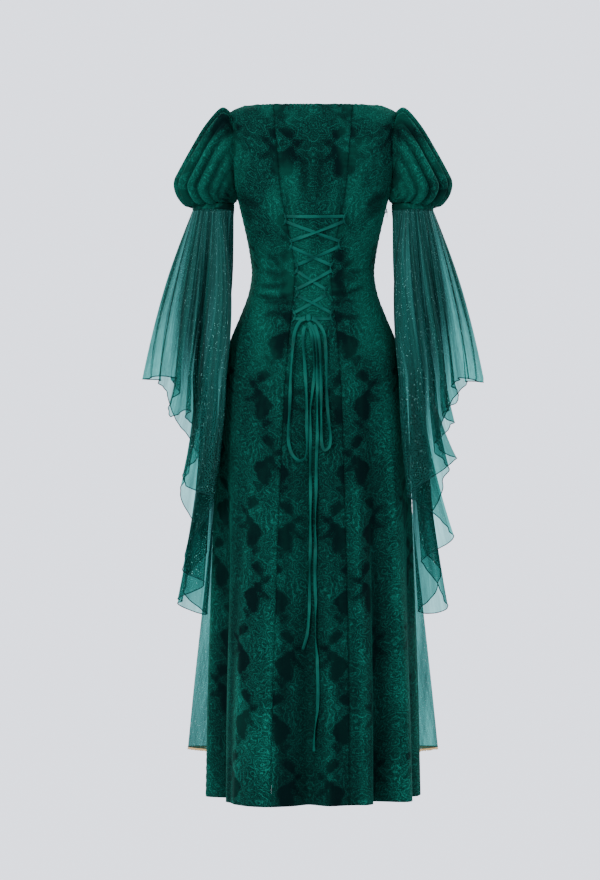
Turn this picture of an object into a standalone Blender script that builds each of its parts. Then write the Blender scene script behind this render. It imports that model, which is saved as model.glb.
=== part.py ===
"""Back-laced velvet gown: puffed sleeve heads, trailing sheer sleeves and a sheer front overlay.

Stands alone: blender --background --python part.py builds it in the open scene.
Metres, +Z up.  The front faces -Y, the laced back faces +Y, and the gown's left side is +X.
The origin is the middle of the shoulder line, where the gown hangs from its wearer.

The velvet body is a stack of rings round the vertical axis.  A ring is read at a level (its
height) and an angle: 0 is the middle of the back, 90 the left side seam, 180 the middle front.
"""

import math
from typing import Callable, NamedTuple

import bmesh
import bpy
from mathutils import Vector
from mathutils.bvhtree import BVHTree

COLLECTION = "laced_velvet_gown"

# ------------------------------------------------------------------ driving sizes (metres)
LENGTH = 1.375              # shoulder line to velvet hem
VELVET = 0.0018             # cloth walls
CHIFFON = 0.0010
SEAM_GAP = 0.0006           # between two cut pieces
REST_GAP = 0.0003           # between a piece and what it lies on

NECK_DROP = 0.042           # how far the front neckline lies below the back one
NECK_FADE = 0.16            # depth of bodice over which that drop dies out

ARMHOLE_TOP = -0.010
ARMHOLE_BASE = -0.183
ARMHOLE_HALF_DEPTH = 0.045

PUFF_STANDOFF = 0.0021      # sleeve head's first ring outside the bodice wall's middle
PUFF_GATHERS = 9
PUFF_FIRST_GATHER = 20.0    # phase of the gathers round the sleeve head
BAND_TOP = -0.1925
BAND_BASE = -0.2050
BAND_INNER = 0.158          # nearest and farthest reach of the arm band from the centre line
BAND_OUTER = 0.2405
BAND_HALF_DEPTH = 0.043

SLEEVE_TOP = BAND_BASE - REST_GAP
SLEEVE_KNEE = -0.540        # level at which the sheer cloth leaves the forearm and hangs free
SLEEVE_TUCK = 0.016         # how far its inner side follows the narrow waist
SLEEVE_DRIFT = 1.6          # how late the hanging folds swing out
SLEEVE_ROWS = 9
SLEEVE_COLUMNS = 57

OVERLAY_TOP = -0.415
OVERLAY_HEM = -1.288
OVERLAY_EDGE = 101.0        # angle of the overlay's side edges
OVERLAY_EASE = 0.0018       # between the two walls' middles where it is sewn at its top
OVERLAY_SWING = 0.0050      # and what the hem adds to it
TRIM_HEIGHT = 0.0060
TRIM = 0.0014

RIBBON_WIDTH = 0.0065
RIBBON = 0.0010
LOOP_RADIUS = 0.0009

MERGE = 0.00001
THINNEST_LEAN = 0.5         # limits how far a sharp fold's corner is drawn out to keep its wall even


class Section(NamedTuple):
    """One ring of the velvet body: its half width, its reach behind and before, its squareness."""

    level: float
    half_width: float
    back: float
    front: float
    power: float


BODY = (
    Section(0.002, 0.138, 0.060, 0.080, 2.6),
    Section(-0.010, 0.164, 0.072, 0.091, 2.6),
    Section(-0.030, 0.1655, 0.083, 0.101, 2.6),
    Section(-0.060, 0.166, 0.092, 0.112, 2.6),
    Section(-0.100, 0.167, 0.098, 0.124, 2.6),
    Section(-0.150, 0.161, 0.099, 0.134, 2.6),
    Section(-0.185, 0.150, 0.096, 0.136, 2.5),
    Section(-0.225, 0.140, 0.090, 0.130, 2.5),
    Section(-0.270, 0.130, 0.083, 0.114, 2.4),
    Section(-0.310, 0.1235, 0.079, 0.101, 2.3),
    Section(-0.335, 0.122, 0.079, 0.096, 2.3),
    Section(-0.375, 0.129, 0.087, 0.098, 2.3),
    Section(-0.415, 0.144, 0.099, 0.104, 2.3),
    Section(-0.470, 0.166, 0.115, 0.112, 2.2),
    Section(-0.560, 0.184, 0.132, 0.124, 2.1),
    Section(-0.700, 0.193, 0.148, 0.140, 2.0),
    Section(-0.900, 0.199, 0.168, 0.160, 2.0),
    Section(-1.150, 0.206, 0.190, 0.180, 2.0),
    Section(-LENGTH, 0.209, 0.200, 0.192, 2.0),
)

ROW_LEVELS = (
    0.002, -0.010, -0.020, -0.045, -0.080, -0.120, -0.152, -0.174, -0.183, -0.205, -0.242,
    -0.280, -0.316, -0.350, -0.382, -0.415, -0.460, -0.540, -0.660, -0.810, -0.980, -1.130,
    -1.260, -LENGTH,
)


class Seam(NamedTuple):
    """Angles of the two shaped seams, behind and before, at one level."""

    level: float
    back: float
    front: float


SEAMS = (
    Seam(0.002, 55.0, 130.0),
    Seam(-0.010, 49.0, 134.0),
    Seam(-0.030, 44.0, 138.0),
    Seam(-0.100, 37.0, 146.0),
    Seam(-0.185, 34.0, 150.0),
    Seam(-0.225, 32.0, 151.0),
    Seam(-0.335, 25.0, 150.0),
    Seam(-0.420, 23.5, 150.0),
    Seam(-0.600, 23.5, 148.0),
    Seam(-LENGTH, 22.0, 148.0),
)


class Fold(NamedTuple):
    """A soft ridge (+) or valley (-) of the skirt: where, how deep at the hem, how wide, from where."""

    angle: float
    depth: float
    spread: float
    start: float


SKIRT_FOLDS = (
    Fold(88, 0.006, 10.0, -0.55),
    Fold(71, -0.056, 8.5, -0.56),
    Fold(31, 0.026, 15.0, -0.46),
    Fold(3, -0.040, 9.0, -0.46),
    Fold(-21, -0.014, 12.0, -0.50),
    Fold(-47, -0.052, 7.5, -0.50),
    Fold(-60, 0.014, 7.5, -0.52),
    Fold(-78, -0.022, 7.0, -0.60),
    Fold(-97, 0.008, 7.0, -0.60),
    Fold(-116, -0.014, 7.0, -0.60),
    Fold(-134, 0.010, 7.0, -0.55),
    Fold(-152, -0.016, 7.0, -0.55),
    Fold(-170, 0.010, 7.0, -0.55),
    Fold(172, -0.016, 7.0, -0.55),
    Fold(154, 0.012, 7.0, -0.55),
    Fold(136, -0.016, 7.0, -0.55),
    Fold(118, 0.012, 7.0, -0.58),
    Fold(104, -0.010, 8.0, -0.60),
)


class PuffRing(NamedTuple):
    """One ring of a sleeve head, by its outermost and innermost points and its half depth."""

    outer_x: float
    outer_z: float
    inner_x: float
    inner_z: float
    half_depth: float
    gather: float


PUFF = (
    PuffRing(0.1830, -0.0010, 0.1545, -0.1865, 0.0560, 0.0016),
    PuffRing(0.2130, -0.0360, 0.1548, -0.1870, 0.0620, 0.0030),
    PuffRing(0.2390, -0.0800, 0.1552, -0.1875, 0.0680, 0.0040),
    PuffRing(0.2650, -0.1280, 0.1556, -0.1880, 0.0710, 0.0045),
    PuffRing(0.2745, -0.1500, 0.1560, -0.1885, 0.0700, 0.0045),
    PuffRing(0.2710, -0.1720, 0.1564, -0.1889, 0.0650, 0.0040),
    PuffRing(0.2595, -0.1900, 0.1569, -0.1893, 0.0570, 0.0028),
    PuffRing(0.2495, -0.1962, 0.1574, -0.1897, 0.0490, 0.0010),
    PuffRing(BAND_OUTER, BAND_TOP + 0.0026, BAND_INNER, BAND_TOP + 0.0026, BAND_HALF_DEPTH, 0.0),
)


class Drape(NamedTuple):
    """One fold line of a sheer sleeve: its angle on the arm band, its place at the knee level,
    its place at the hem and the hem's level.  out and back are measured from the centre line."""

    band_angle: float
    knee_out: float
    knee_back: float
    hem_out: float
    hem_back: float
    hem_level: float


LEFT_DRAPE = (
    Drape(0, 0.330, 0.020, 0.330, 0.020, -0.542),
    Drape(28, 0.302, 0.052, 0.302, 0.052, -0.537),
    Drape(48, 0.276, 0.058, 0.274, 0.060, -0.548),
    Drape(60, 0.268, 0.080, 0.283, 0.088, -0.616),
    Drape(73, 0.247, 0.086, 0.250, 0.092, -0.606),
    Drape(85, 0.236, 0.052, 0.238, 0.050, -0.655),
    Drape(97, 0.219, 0.086, 0.250, 0.092, -0.748),
    Drape(117, 0.175, 0.090, 0.200, 0.096, -0.776),
    Drape(130, 0.190, 0.056, 0.212, 0.062, -0.815),
    Drape(146, 0.214, 0.044, 0.262, 0.050, -0.912),
    Drape(164, 0.196, 0.028, 0.216, 0.034, -0.950),
    Drape(180, 0.214, 0.014, 0.274, 0.016, -0.986),
    Drape(198, 0.192, 0.000, 0.213, 0.002, -1.012),
    Drape(220, 0.222, -0.014, 0.262, -0.014, -0.960),
    Drape(242, 0.196, -0.028, 0.218, -0.030, -0.880),
    Drape(266, 0.234, -0.034, 0.268, -0.036, -0.770),
    Drape(290, 0.226, -0.058, 0.238, -0.062, -0.690),
    Drape(312, 0.266, -0.044, 0.280, -0.048, -0.615),
    Drape(336, 0.300, -0.036, 0.302, -0.036, -0.552),
)

RIGHT_DRAPE = (
    Drape(0, 0.331, 0.018, 0.330, 0.018, -0.548),
    Drape(26, 0.306, 0.046, 0.306, 0.046, -0.542),
    Drape(44, 0.284, 0.050, 0.283, 0.050, -0.545),
    Drape(56, 0.274, 0.056, 0.286, 0.060, -0.586),
    Drape(67, 0.258, 0.066, 0.260, 0.072, -0.604),
    Drape(77, 0.254, 0.080, 0.269, 0.084, -0.638),
    Drape(88, 0.238, 0.070, 0.243, 0.078, -0.672),
    Drape(100, 0.226, 0.092, 0.272, 0.096, -0.708),
    Drape(120, 0.172, 0.090, 0.190, 0.098, -0.768),
    Drape(134, 0.192, 0.056, 0.220, 0.062, -0.795),
    Drape(150, 0.214, 0.046, 0.278, 0.048, -0.856),
    Drape(166, 0.196, 0.028, 0.222, 0.030, -0.905),
    Drape(182, 0.214, 0.012, 0.270, 0.014, -0.994),
    Drape(200, 0.192, -0.002, 0.214, 0.000, -1.006),
    Drape(222, 0.222, -0.016, 0.258, -0.016, -0.940),
    Drape(244, 0.198, -0.030, 0.218, -0.032, -0.860),
    Drape(270, 0.236, -0.036, 0.266, -0.038, -0.750),
    Drape(296, 0.240, -0.058, 0.250, -0.060, -0.660),
    Drape(328, 0.296, -0.040, 0.300, -0.040, -0.556),
)


class OverlayRing(NamedTuple):
    """One ring of the front overlay: its half width and its reach before."""

    level: float
    half_width: float
    front: float


OVERLAY = (
    OverlayRing(OVERLAY_TOP, 0.1470, 0.1075),
    OverlayRing(-0.470, 0.1700, 0.1190),
    OverlayRing(-0.560, 0.1900, 0.1360),
    OverlayRing(-0.700, 0.2010, 0.1580),
    OverlayRing(-0.900, 0.2090, 0.1860),
    OverlayRing(-1.150, 0.2180, 0.2120),
    OverlayRing(OVERLAY_HEM, 0.2210, 0.2260),
)

OVERLAY_FOLDS = (
    Fold(115, 0.057, 6.5, -0.50),
    Fold(128, -0.008, 6.0, -0.60),
    Fold(142, 0.020, 6.5, -0.50),
    Fold(157, -0.004, 6.0, -0.60),
    Fold(171, 0.018, 6.5, -0.50),
    Fold(-174, -0.006, 6.0, -0.60),
    Fold(-160, 0.020, 6.5, -0.50),
    Fold(-145, -0.004, 6.0, -0.60),
    Fold(-131, 0.018, 6.0, -0.55),
    Fold(-115, 0.058, 6.5, -0.50),
)


class Anchor(NamedTuple):
    """A lacing loop's place on the back: distance from the centre line and level."""

    left: float
    right: float
    level: float


LACING = (
    Anchor(0.0600, 0.0660, -0.2270),
    Anchor(0.0490, 0.0560, -0.2760),
    Anchor(0.0375, 0.0400, -0.3240),
    Anchor(0.0370, 0.0290, -0.3730),
    Anchor(0.0420, 0.0400, -0.4200),
)

KNOT_X = 0.0090
KNOT_LEVEL = -0.4260
KNOT_HALF = (0.0060, 0.0036, 0.0075)
KNOT_LIFT = 0.0066          # the knot's middle off the skirt
KNOT_SIDE = 0.0066          # where the lacing's tails end beside it

# Routes of the hanging ribbons: distance from the centre line (+ is left) and level.
LEFT_BOW_ROUTE = (
    (0.0152, -0.4285), (0.0260, -0.4340), (0.0350, -0.4520), (0.0390, -0.4780), (0.0415, -0.5100),
    (0.0440, -0.5450), (0.0450, -0.5800), (0.0465, -0.6150), (0.0485, -0.6450), (0.0480, -0.6700),
    (0.0420, -0.6920), (0.0300, -0.7050), (0.0190, -0.7000), (0.0140, -0.6800), (0.0135, -0.6500),
    (0.0140, -0.6200), (0.0140, -0.5900), (0.0150, -0.5600), (0.0165, -0.5300), (0.0180, -0.5000),
    (0.0200, -0.4750), (0.0190, -0.4540), (0.0165, -0.4440),
)
RIGHT_BOW_ROUTE = (
    (0.0030, -0.4290), (-0.0060, -0.4330), (-0.0150, -0.4440), (-0.0215, -0.4600), (-0.0240, -0.4850),
    (-0.0250, -0.5150), (-0.0255, -0.5450), (-0.0260, -0.5750), (-0.0275, -0.6050), (-0.0300, -0.6350),
    (-0.0325, -0.6600), (-0.0300, -0.6780), (-0.0220, -0.6840), (-0.0170, -0.6700), (-0.0165, -0.6400),
    (-0.0160, -0.6050), (-0.0155, -0.5700), (-0.0150, -0.5350), (-0.0140, -0.5000), (-0.0110, -0.4700),
    (-0.0060, -0.4500), (-0.0010, -0.4400),
)
LEFT_END_ROUTE = (
    (0.0090, -0.4345), (0.0050, -0.4480), (0.0010, -0.4700), (-0.0020, -0.5000), (-0.0035, -0.5250),
    (-0.0010, -0.5500), (0.0030, -0.5800), (0.0062, -0.6050), (0.0060, -0.6400), (0.0052, -0.6800),
    (0.0050, -0.7300), (0.0052, -0.7900), (0.0054, -0.8500), (0.0058, -0.9100), (0.0068, -0.9600),
    (0.0090, -1.0050), (0.0140, -1.0450), (0.0220, -1.0720),
)
RIGHT_END_ROUTE = (
    (0.0085, -0.4345), (-0.0020, -0.4520), (-0.0070, -0.4850), (-0.0085, -0.5200), (-0.0085, -0.5600),
    (-0.0085, -0.6000), (-0.0088, -0.6500), (-0.0080, -0.7000), (-0.0070, -0.7600), (-0.0065, -0.8200),
    (-0.0062, -0.8800), (-0.0064, -0.9400), (-0.0072, -1.0000), (-0.0082, -1.0600), (-0.0120, -1.1200),
    (-0.0125, -1.1600), (-0.0090, -1.2050), (-0.0045, -1.2500), (-0.0040, -1.2700),
)
HANG_GAP = 0.0010           # between the skirt and a hanging ribbon
END_LIFT = 0.0018           # the right-hand free end passes over the left-hand one
BOW_LIFT = 0.0040           # and the bow's ribbons over both
LACE_GAP = 0.0006           # between the bodice and its lacing
LACE_INSET = 0.0030         # a stretch starts and ends this far inside its loop
LACE_DROP = 0.0045          # and this far above or below the loop's middle
TAIL_DROP = 0.0055          # the same below the lowest loops
CROSS_LIFT = 0.0016         # a lacing stretch that passes over another
LOW_END_START = KNOT_LIFT - 0.0024      # where the hanging ribbons leave the knot, off the skirt
HIGH_END_START = KNOT_LIFT - 0.0002
BOW_START = KNOT_LIFT + 0.0014
LEFT_END_STEPS = 20
HANG_STEPS = 24             # stretches of each other hanging ribbon
LOOP_ARCH = 0.0055
LOOP_REACH = 0.0070
LOOP_HALF = 0.0115

ZIP_LEVEL = -0.2070         # hinge line of the zip's pull tab, on the right side seam
ZIP_ANGLE = -90.0
SLIDER_SIZE = (0.0020, 0.0050, 0.0090)
SLIDER_RISE = 0.0015        # its middle above the hinge line
SLIDER_EDGE = 0.0004        # rounding of its edges
HINGE_REACH = 0.0028        # hinge line outside the seam's surface
BAIL_RADIUS = 0.00045       # bail's wire
BAIL_BEND = 0.0014          # radius of the bail's bend round the hinge line
BAIL_ROOT = 0.0005          # how far its ends are sunk into the slider
PULL = 0.0008
PULL_SLOT = (0.0008, 0.0005, 0.0028)    # half width, top and bottom below the hinge line
PULL_OUTLINE = (            # half width, drop below the hinge line
    (0.0010, -0.0005), (0.0014, -0.0001), (0.0014, 0.0030), (0.0011, 0.0048), (0.0013, 0.0066),
    (0.0017, 0.0086), (0.0016, 0.0102), (0.0009, 0.0111),
)


class Finish(NamedTuple):
    """A material's name, colour (linear), roughness, metallic value and opacity."""

    name: str
    colour: tuple
    roughness: float
    metallic: float
    alpha: float


VELVET_FINISH = Finish("emerald_velvet", (0.004, 0.085, 0.052), 0.75, 0.0, 1.0)
SHEER_FINISH = Finish("sheer_chiffon", (0.010, 0.160, 0.120), 0.55, 0.0, 0.6)
RIBBON_FINISH = Finish("teal_ribbon", (0.008, 0.160, 0.115), 0.45, 0.0, 1.0)
TRIM_FINISH = Finish("gold_lace", (0.52, 0.34, 0.14), 0.50, 0.2, 1.0)
METAL_FINISH = Finish("lacquered_zip", (0.004, 0.060, 0.045), 0.35, 0.6, 1.0)


# ------------------------------------------------------------------ reading the tables
def read(rows: tuple, level: float) -> list:
    """Smooth reading of a table at a level: a cubic through its rows, whose first column is the level.

    Args:
        rows: Rows ordered downwards, each a tuple that starts with its level.
        level: The height to read at.

    Returns:
        The other columns' values there.
    """
    last = len(rows) - 1
    if level >= rows[0][0]:
        return list(rows[0][1:])
    if level <= rows[last][0]:
        return list(rows[last][1:])
    low = next(i for i in range(last) if rows[i + 1][0] <= level)
    span = rows[low + 1][0] - rows[low][0]
    t = (level - rows[low][0]) / span
    values = []
    for column in range(1, len(rows[0])):
        start, end = rows[low][column], rows[low + 1][column]
        slopes = []
        for i in (low, low + 1):
            before, after = rows[max(i - 1, 0)], rows[min(i + 1, last)]
            slopes.append(span * (after[column] - before[column]) / (after[0] - before[0]))
        values.append(
            (2 * t**3 - 3 * t**2 + 1) * start + (t**3 - 2 * t**2 + t) * slopes[0]
            + (3 * t**2 - 2 * t**3) * end + (t**3 - t**2) * slopes[1]
        )
    return values


def through(points: list, place: float, closed: bool) -> tuple:
    """Point on a Catmull-Rom curve through a list of points, at place counted in points."""
    count = len(points)
    step = int(math.floor(place)) if closed else min(int(place), count - 2)
    t = place - step
    corners = []
    for offset in (-1, 0, 1, 2):
        i = step + offset
        corners.append(points[i % count if closed else min(max(i, 0), count - 1)])
    a, b, c, d = corners
    return tuple(
        0.5 * (2 * q + (r - p) * t + (2 * p - 5 * q + 4 * r - s) * t**2 + (3 * q - p - 3 * r + s) * t**3)
        for p, q, r, s in zip(a, b, c, d)
    )


def turned(angle: float) -> float:
    """An angle in degrees brought to within half a turn of zero."""
    return (angle + 180.0) % 360.0 - 180.0


def folded(folds: tuple, angle: float, level: float, hem: float) -> float:
    """How far folds push the cloth out (+) or in (-) at an angle and level."""
    push = 0.0
    for fold in folds:
        if level < fold.start:
            growth = (fold.start - level) / (fold.start - hem)
            push += fold.depth * growth**1.1 * math.exp(-((turned(angle - fold.angle) / fold.spread) ** 2))
    return push


# ------------------------------------------------------------------ the velvet body's surface
def body_radius(angle: float, level: float) -> float:
    """Distance of the velvet body's wall from the vertical axis."""
    half_width, back, front, power = read(BODY, level)
    across, along = math.sin(math.radians(angle)), math.cos(math.radians(angle))
    reach = back if along >= 0 else front
    plain = (abs(across / half_width) ** power + abs(along / reach) ** power) ** (-1.0 / power)
    return plain + folded(SKIRT_FOLDS, angle, level, -LENGTH)


def body_point(angle: float, level: float) -> Vector:
    """Point in the middle of the velvet wall."""
    radius = body_radius(angle, level)
    across, along = math.sin(math.radians(angle)), math.cos(math.radians(angle))
    frontness = max(0.0, -along) ** 2
    fade = min(max(1.0 + level / NECK_FADE, 0.0), 1.0)
    return Vector((radius * across, radius * along, level - NECK_DROP * frontness * fade))


def body_normal(angle: float, level: float) -> Vector:
    """Direction straight out of the velvet wall."""
    turn, drop = 0.5, 0.001
    around = body_point(angle + turn, level) - body_point(angle - turn, level)
    down = body_point(angle, level - drop) - body_point(angle, level + drop)
    return around.cross(down).normalized()


def armhole_angle(level: float, front: bool) -> float:
    """Angle of a side panel's outer edge: the armhole's rim, or the side seam below it."""
    middle = (ARMHOLE_TOP + ARMHOLE_BASE) / 2
    half = (ARMHOLE_TOP - ARMHOLE_BASE) / 2
    share = 1.0 - ((level - middle) / half) ** 2
    if share <= 0:
        return 90.0
    depth = ARMHOLE_HALF_DEPTH * math.sqrt(share)
    low, high = 40.0, 90.0
    for _ in range(40):
        test = (low + high) / 2
        angle = 180.0 - test if front else test
        radius = body_radius(angle, level)
        if radius * math.cos(math.radians(test)) > depth:
            low = test
        else:
            high = test
    return 180.0 - high if front else high


def armhole_rim(turn: float) -> Vector:
    """Point on the left armhole's rim, lifted off the wall; turn 0 is its top, 90 its back."""
    middle = (ARMHOLE_TOP + ARMHOLE_BASE) / 2
    half = (ARMHOLE_TOP - ARMHOLE_BASE) / 2
    level = middle + half * math.cos(math.radians(turn))
    angle = armhole_angle(level, math.sin(math.radians(turn)) < 0)
    return body_point(angle, level) + body_normal(angle, level) * PUFF_STANDOFF


# ------------------------------------------------------------------ making objects
def material(finish: Finish) -> bpy.types.Material:
    """The material of a finish, made once."""
    made = bpy.data.materials.get(finish.name)
    if made:
        return made
    made = bpy.data.materials.new(finish.name)
    made.use_nodes = True
    shader = made.node_tree.nodes["Principled BSDF"]
    shader.inputs["Base Color"].default_value = (*finish.colour, 1.0)
    shader.inputs["Roughness"].default_value = finish.roughness
    shader.inputs["Metallic"].default_value = finish.metallic
    shader.inputs["Alpha"].default_value = finish.alpha
    return made


def place_object(name: str, data: bpy.types.ID, finish: Finish) -> bpy.types.Object:
    """Put a mesh or curve into the gown's collection as one named piece."""
    data.materials.append(material(finish))
    piece = bpy.data.objects.new(name, data)
    bpy.data.collections[COLLECTION].objects.link(piece)
    return piece


def cloth(name: str, columns: int, rows: int, surface: Callable, wall: float, finish: Finish,
          closed: bool = False) -> bpy.types.Object:
    """A cloth wall: cells laid on a surface and thickened evenly to both sides.

    Args:
        name: The piece's name.
        columns: Cells across.
        rows: Cells down.
        surface: Gives the wall's middle for a share across and a share down, both 0 to 1.
        wall: The cloth's thickness.
        finish: Its material.
        closed: Whether the two side edges meet, as on a sleeve.

    Returns:
        The piece.
    """
    wide = columns if closed else columns + 1
    middle = [surface(i / columns, j / rows) for j in range(rows + 1) for i in range(wide)]
    cells = [
        (j * wide + i, (j + 1) * wide + i, (j + 1) * wide + (i + 1) % wide, j * wide + (i + 1) % wide)
        for j in range(rows) for i in range(columns)
    ]
    facings = [(middle[c] - middle[a]).cross(middle[d] - middle[b]).normalized() for a, b, c, d in cells]
    normals = [Vector() for _ in middle]
    for cell, facing in zip(cells, facings):
        for corner in cell:
            normals[corner] += facing
    normals = [normal.normalized() for normal in normals]
    lean = [1.0] * len(middle)
    for cell, facing in zip(cells, facings):
        for corner in cell:
            lean[corner] = max(min(lean[corner], normals[corner].dot(facing)), THINNEST_LEAN)
    reach = [normal * (wall / 2 / share) for normal, share in zip(normals, lean)]
    corners = [point + step for point, step in zip(middle, reach)]
    corners += [point - step for point, step in zip(middle, reach)]

    outside = []
    for a, b, c, d in cells:
        if (middle[a] - middle[c]).length <= (middle[b] - middle[d]).length:
            outside += [(a, b, c), (a, c, d)]
        else:
            outside += [(a, b, d), (b, c, d)]
    edges = {(face[k], face[(k + 1) % 3]) for face in outside for k in range(3)}
    back = len(middle)
    faces = outside + [(c + back, b + back, a + back) for a, b, c in outside]
    for start, end in sorted(edges):
        if (end, start) not in edges:
            faces += [(end, start, start + back), (end, start + back, end + back)]
    mesh = bpy.data.meshes.new(name)
    mesh.from_pydata(corners, [], faces)
    mesh.shade_smooth()
    return place_object(name, mesh, finish)


def cord(name: str, points: list, radius: float, sides: int, finish: Finish) -> bpy.types.Object:
    """A round cord through points, with closed ends; sides is its bevel resolution."""
    curve = bpy.data.curves.new(name, "CURVE")
    curve.dimensions = "3D"
    curve.bevel_depth = radius
    curve.bevel_resolution = sides
    curve.use_fill_caps = True
    spline = curve.splines.new("POLY")
    spline.points.add(len(points) - 1)
    for target, point in zip(spline.points, points):
        target.co = (*point, 1.0)
    return place_object(name, curve, finish)


def mirrored(side: int, point: Vector) -> Vector:
    """A left-hand point, or its mirror image on the right where side is -1."""
    return Vector((side * point.x, point.y, point.z))


# ------------------------------------------------------------------ the cut pieces
def seam_angle(level: float, front: bool) -> float:
    """Angle of the left shaped seam, before or behind."""
    back_seam, front_seam = read(SEAMS, level)
    return front_seam if front else back_seam


class Panel(NamedTuple):
    """One velvet panel: cells across and the angles of its two seams, given by level."""

    name: str
    columns: int
    start: Callable
    end: Callable

    def point(self, across: float, level: float) -> Vector:
        """Place on the panel, half a seam gap inside both seams."""
        first, second = self.start(level), self.end(level)
        inset = math.degrees(SEAM_GAP / 2 / body_radius((first + second) / 2, level))
        return body_point(first + inset + (second - first - 2 * inset) * across, level)


PANELS = (
    Panel("side_back_right", 11, lambda z: -armhole_angle(z, False), lambda z: -seam_angle(z, False)),
    Panel("back_panel", 10, lambda z: -seam_angle(z, False), lambda z: seam_angle(z, False)),
    Panel("side_back_left", 11, lambda z: seam_angle(z, False), lambda z: armhole_angle(z, False)),
    Panel("side_front_left", 7, lambda z: armhole_angle(z, True), lambda z: seam_angle(z, True)),
    Panel("front_panel", 7, lambda z: seam_angle(z, True), lambda z: 360.0 - seam_angle(z, True)),
    Panel("side_front_right", 7, lambda z: -seam_angle(z, True), lambda z: -armhole_angle(z, True)),
)


def velvet_body() -> None:
    """The six long panels: centre back, centre front, and two to each side."""
    last = len(ROW_LEVELS) - 1
    for panel in PANELS:
        def surface(across: float, down: float, panel: Panel = panel) -> Vector:
            """Place on this panel, row by row."""
            return panel.point(across, ROW_LEVELS[round(down * last)])

        cloth(panel.name, panel.columns, last, surface, VELVET, VELVET_FINISH)


class BackWall:
    """The laced back as its three panels are faceted, for laying ribbons and loops on."""

    def __init__(self) -> None:
        """Lay the panels' cells side by side."""
        shares = [(panel, i / panel.columns) for panel in PANELS[:3] for i in range(panel.columns + 1)]
        points = [panel.point(share, level) for level in ROW_LEVELS for panel, share in shares]
        wide = len(shares)
        cells = []
        for row in range(len(ROW_LEVELS) - 1):
            for i in range(row * wide, row * wide + wide - 1):
                a, b, c, d = i, i + 1, i + wide + 1, i + wide
                if (points[a] - points[c]).length < (points[b] - points[d]).length:
                    cells += [(a, b, c), (a, c, d)]
                else:
                    cells += [(a, b, d), (b, c, d)]
        self.cells = BVHTree.FromPolygons(points, cells)

    def lifted(self, across: float, level: float, lift: float) -> Vector:
        """Point lifted off the outside, by its distance from the centre line and its level."""
        wall = self.cells.ray_cast(Vector((across, 1.0, level)), Vector((0.0, -1.0, 0.0)))[0]
        return wall + self.outward(wall) * (VELVET / 2 + lift)

    @staticmethod
    def outward(point: Vector) -> Vector:
        """Direction out of the wall near a point."""
        return body_normal(math.degrees(math.atan2(point.x, point.y)), point.z)


def puff(side: int, label: str) -> None:
    """A gathered velvet sleeve head, from the armhole's rim round to the arm band."""
    last = len(PUFF)

    def surface(around: float, down: float) -> Vector:
        """Ring by ring: the armhole's rim first, then the rings of the table."""
        turn = 360.0 * around
        ring = round(down * last)
        if ring == 0:
            return mirrored(side, armhole_rim(turn))
        row = PUFF[ring - 1]
        swell = 1.0 + row.gather / row.half_depth * math.cos(math.radians(PUFF_GATHERS * turn + PUFF_FIRST_GATHER))
        middle_x, middle_z = (row.outer_x + row.inner_x) / 2, (row.outer_z + row.inner_z) / 2
        along = math.cos(math.radians(turn)) * (swell if math.cos(math.radians(turn)) > 0 else 1.0)
        return mirrored(side, Vector((
            middle_x + (row.outer_x - middle_x) * along,
            row.half_depth * math.sin(math.radians(turn)) * swell,
            middle_z + (row.outer_z - middle_z) * along,
        )))

    cloth(f"puff_{label}", 32, last, surface, VELVET, VELVET_FINISH, closed=True)


def band_ring(turn: float) -> tuple:
    """Left arm band's outline: distance out and back for a turn, 0 at its outermost point."""
    middle, half = (BAND_OUTER + BAND_INNER) / 2, (BAND_OUTER - BAND_INNER) / 2
    return (middle + half * math.cos(math.radians(turn)), BAND_HALF_DEPTH * math.sin(math.radians(turn)))


def arm_band(side: int, label: str) -> None:
    """The narrow velvet band that holds the sleeve head's gathers."""

    def surface(around: float, down: float) -> Vector:
        """A short upright tube."""
        out, back = band_ring(360.0 * around)
        return Vector((side * out, back, BAND_TOP + (BAND_BASE - BAND_TOP) * down))

    cloth(f"arm_band_{label}", 28, 1, surface, VELVET, VELVET_FINISH, closed=True)


def sheer_sleeve(side: int, label: str, drape: tuple) -> None:
    """A sheer bell sleeve: gathered at the band, over the forearm, then hanging in a cascade."""
    count = len(drape)

    def surface(around: float, down: float) -> Vector:
        """Along the fold lines: band to knee level, then straight down to the hem."""
        place = around * count
        step = min(int(place), count - 1)
        following = drape[(step + 1) % count].band_angle + (360.0 if step == count - 1 else 0.0)
        turn = drape[step].band_angle + (following - drape[step].band_angle) * (place - step)
        knee_out, knee_back, hem_out, hem_back, hem = through([row[1:] for row in drape], place, True)
        level = SLEEVE_TOP + (hem - SLEEVE_TOP) * down
        fall = min((SLEEVE_TOP - level) / (SLEEVE_TOP - SLEEVE_KNEE), 1.0)
        ease = fall * (1.5 - 0.5 * fall)
        out, back = band_ring(turn)
        out += (knee_out - out) * ease
        back += (knee_back - back) * ease
        inward = (1.0 - math.cos(math.radians(turn))) / 2
        out -= SLEEVE_TUCK * inward * math.sin(math.pi * fall)
        if level < SLEEVE_KNEE:
            drift = ((SLEEVE_KNEE - level) / (SLEEVE_KNEE - hem)) ** SLEEVE_DRIFT
            out += (hem_out - knee_out) * drift
            back += (hem_back - knee_back) * drift
        return Vector((side * out, back, level))

    cloth(f"sheer_sleeve_{label}", SLEEVE_COLUMNS, SLEEVE_ROWS, surface, CHIFFON, SHEER_FINISH, closed=True)


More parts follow.
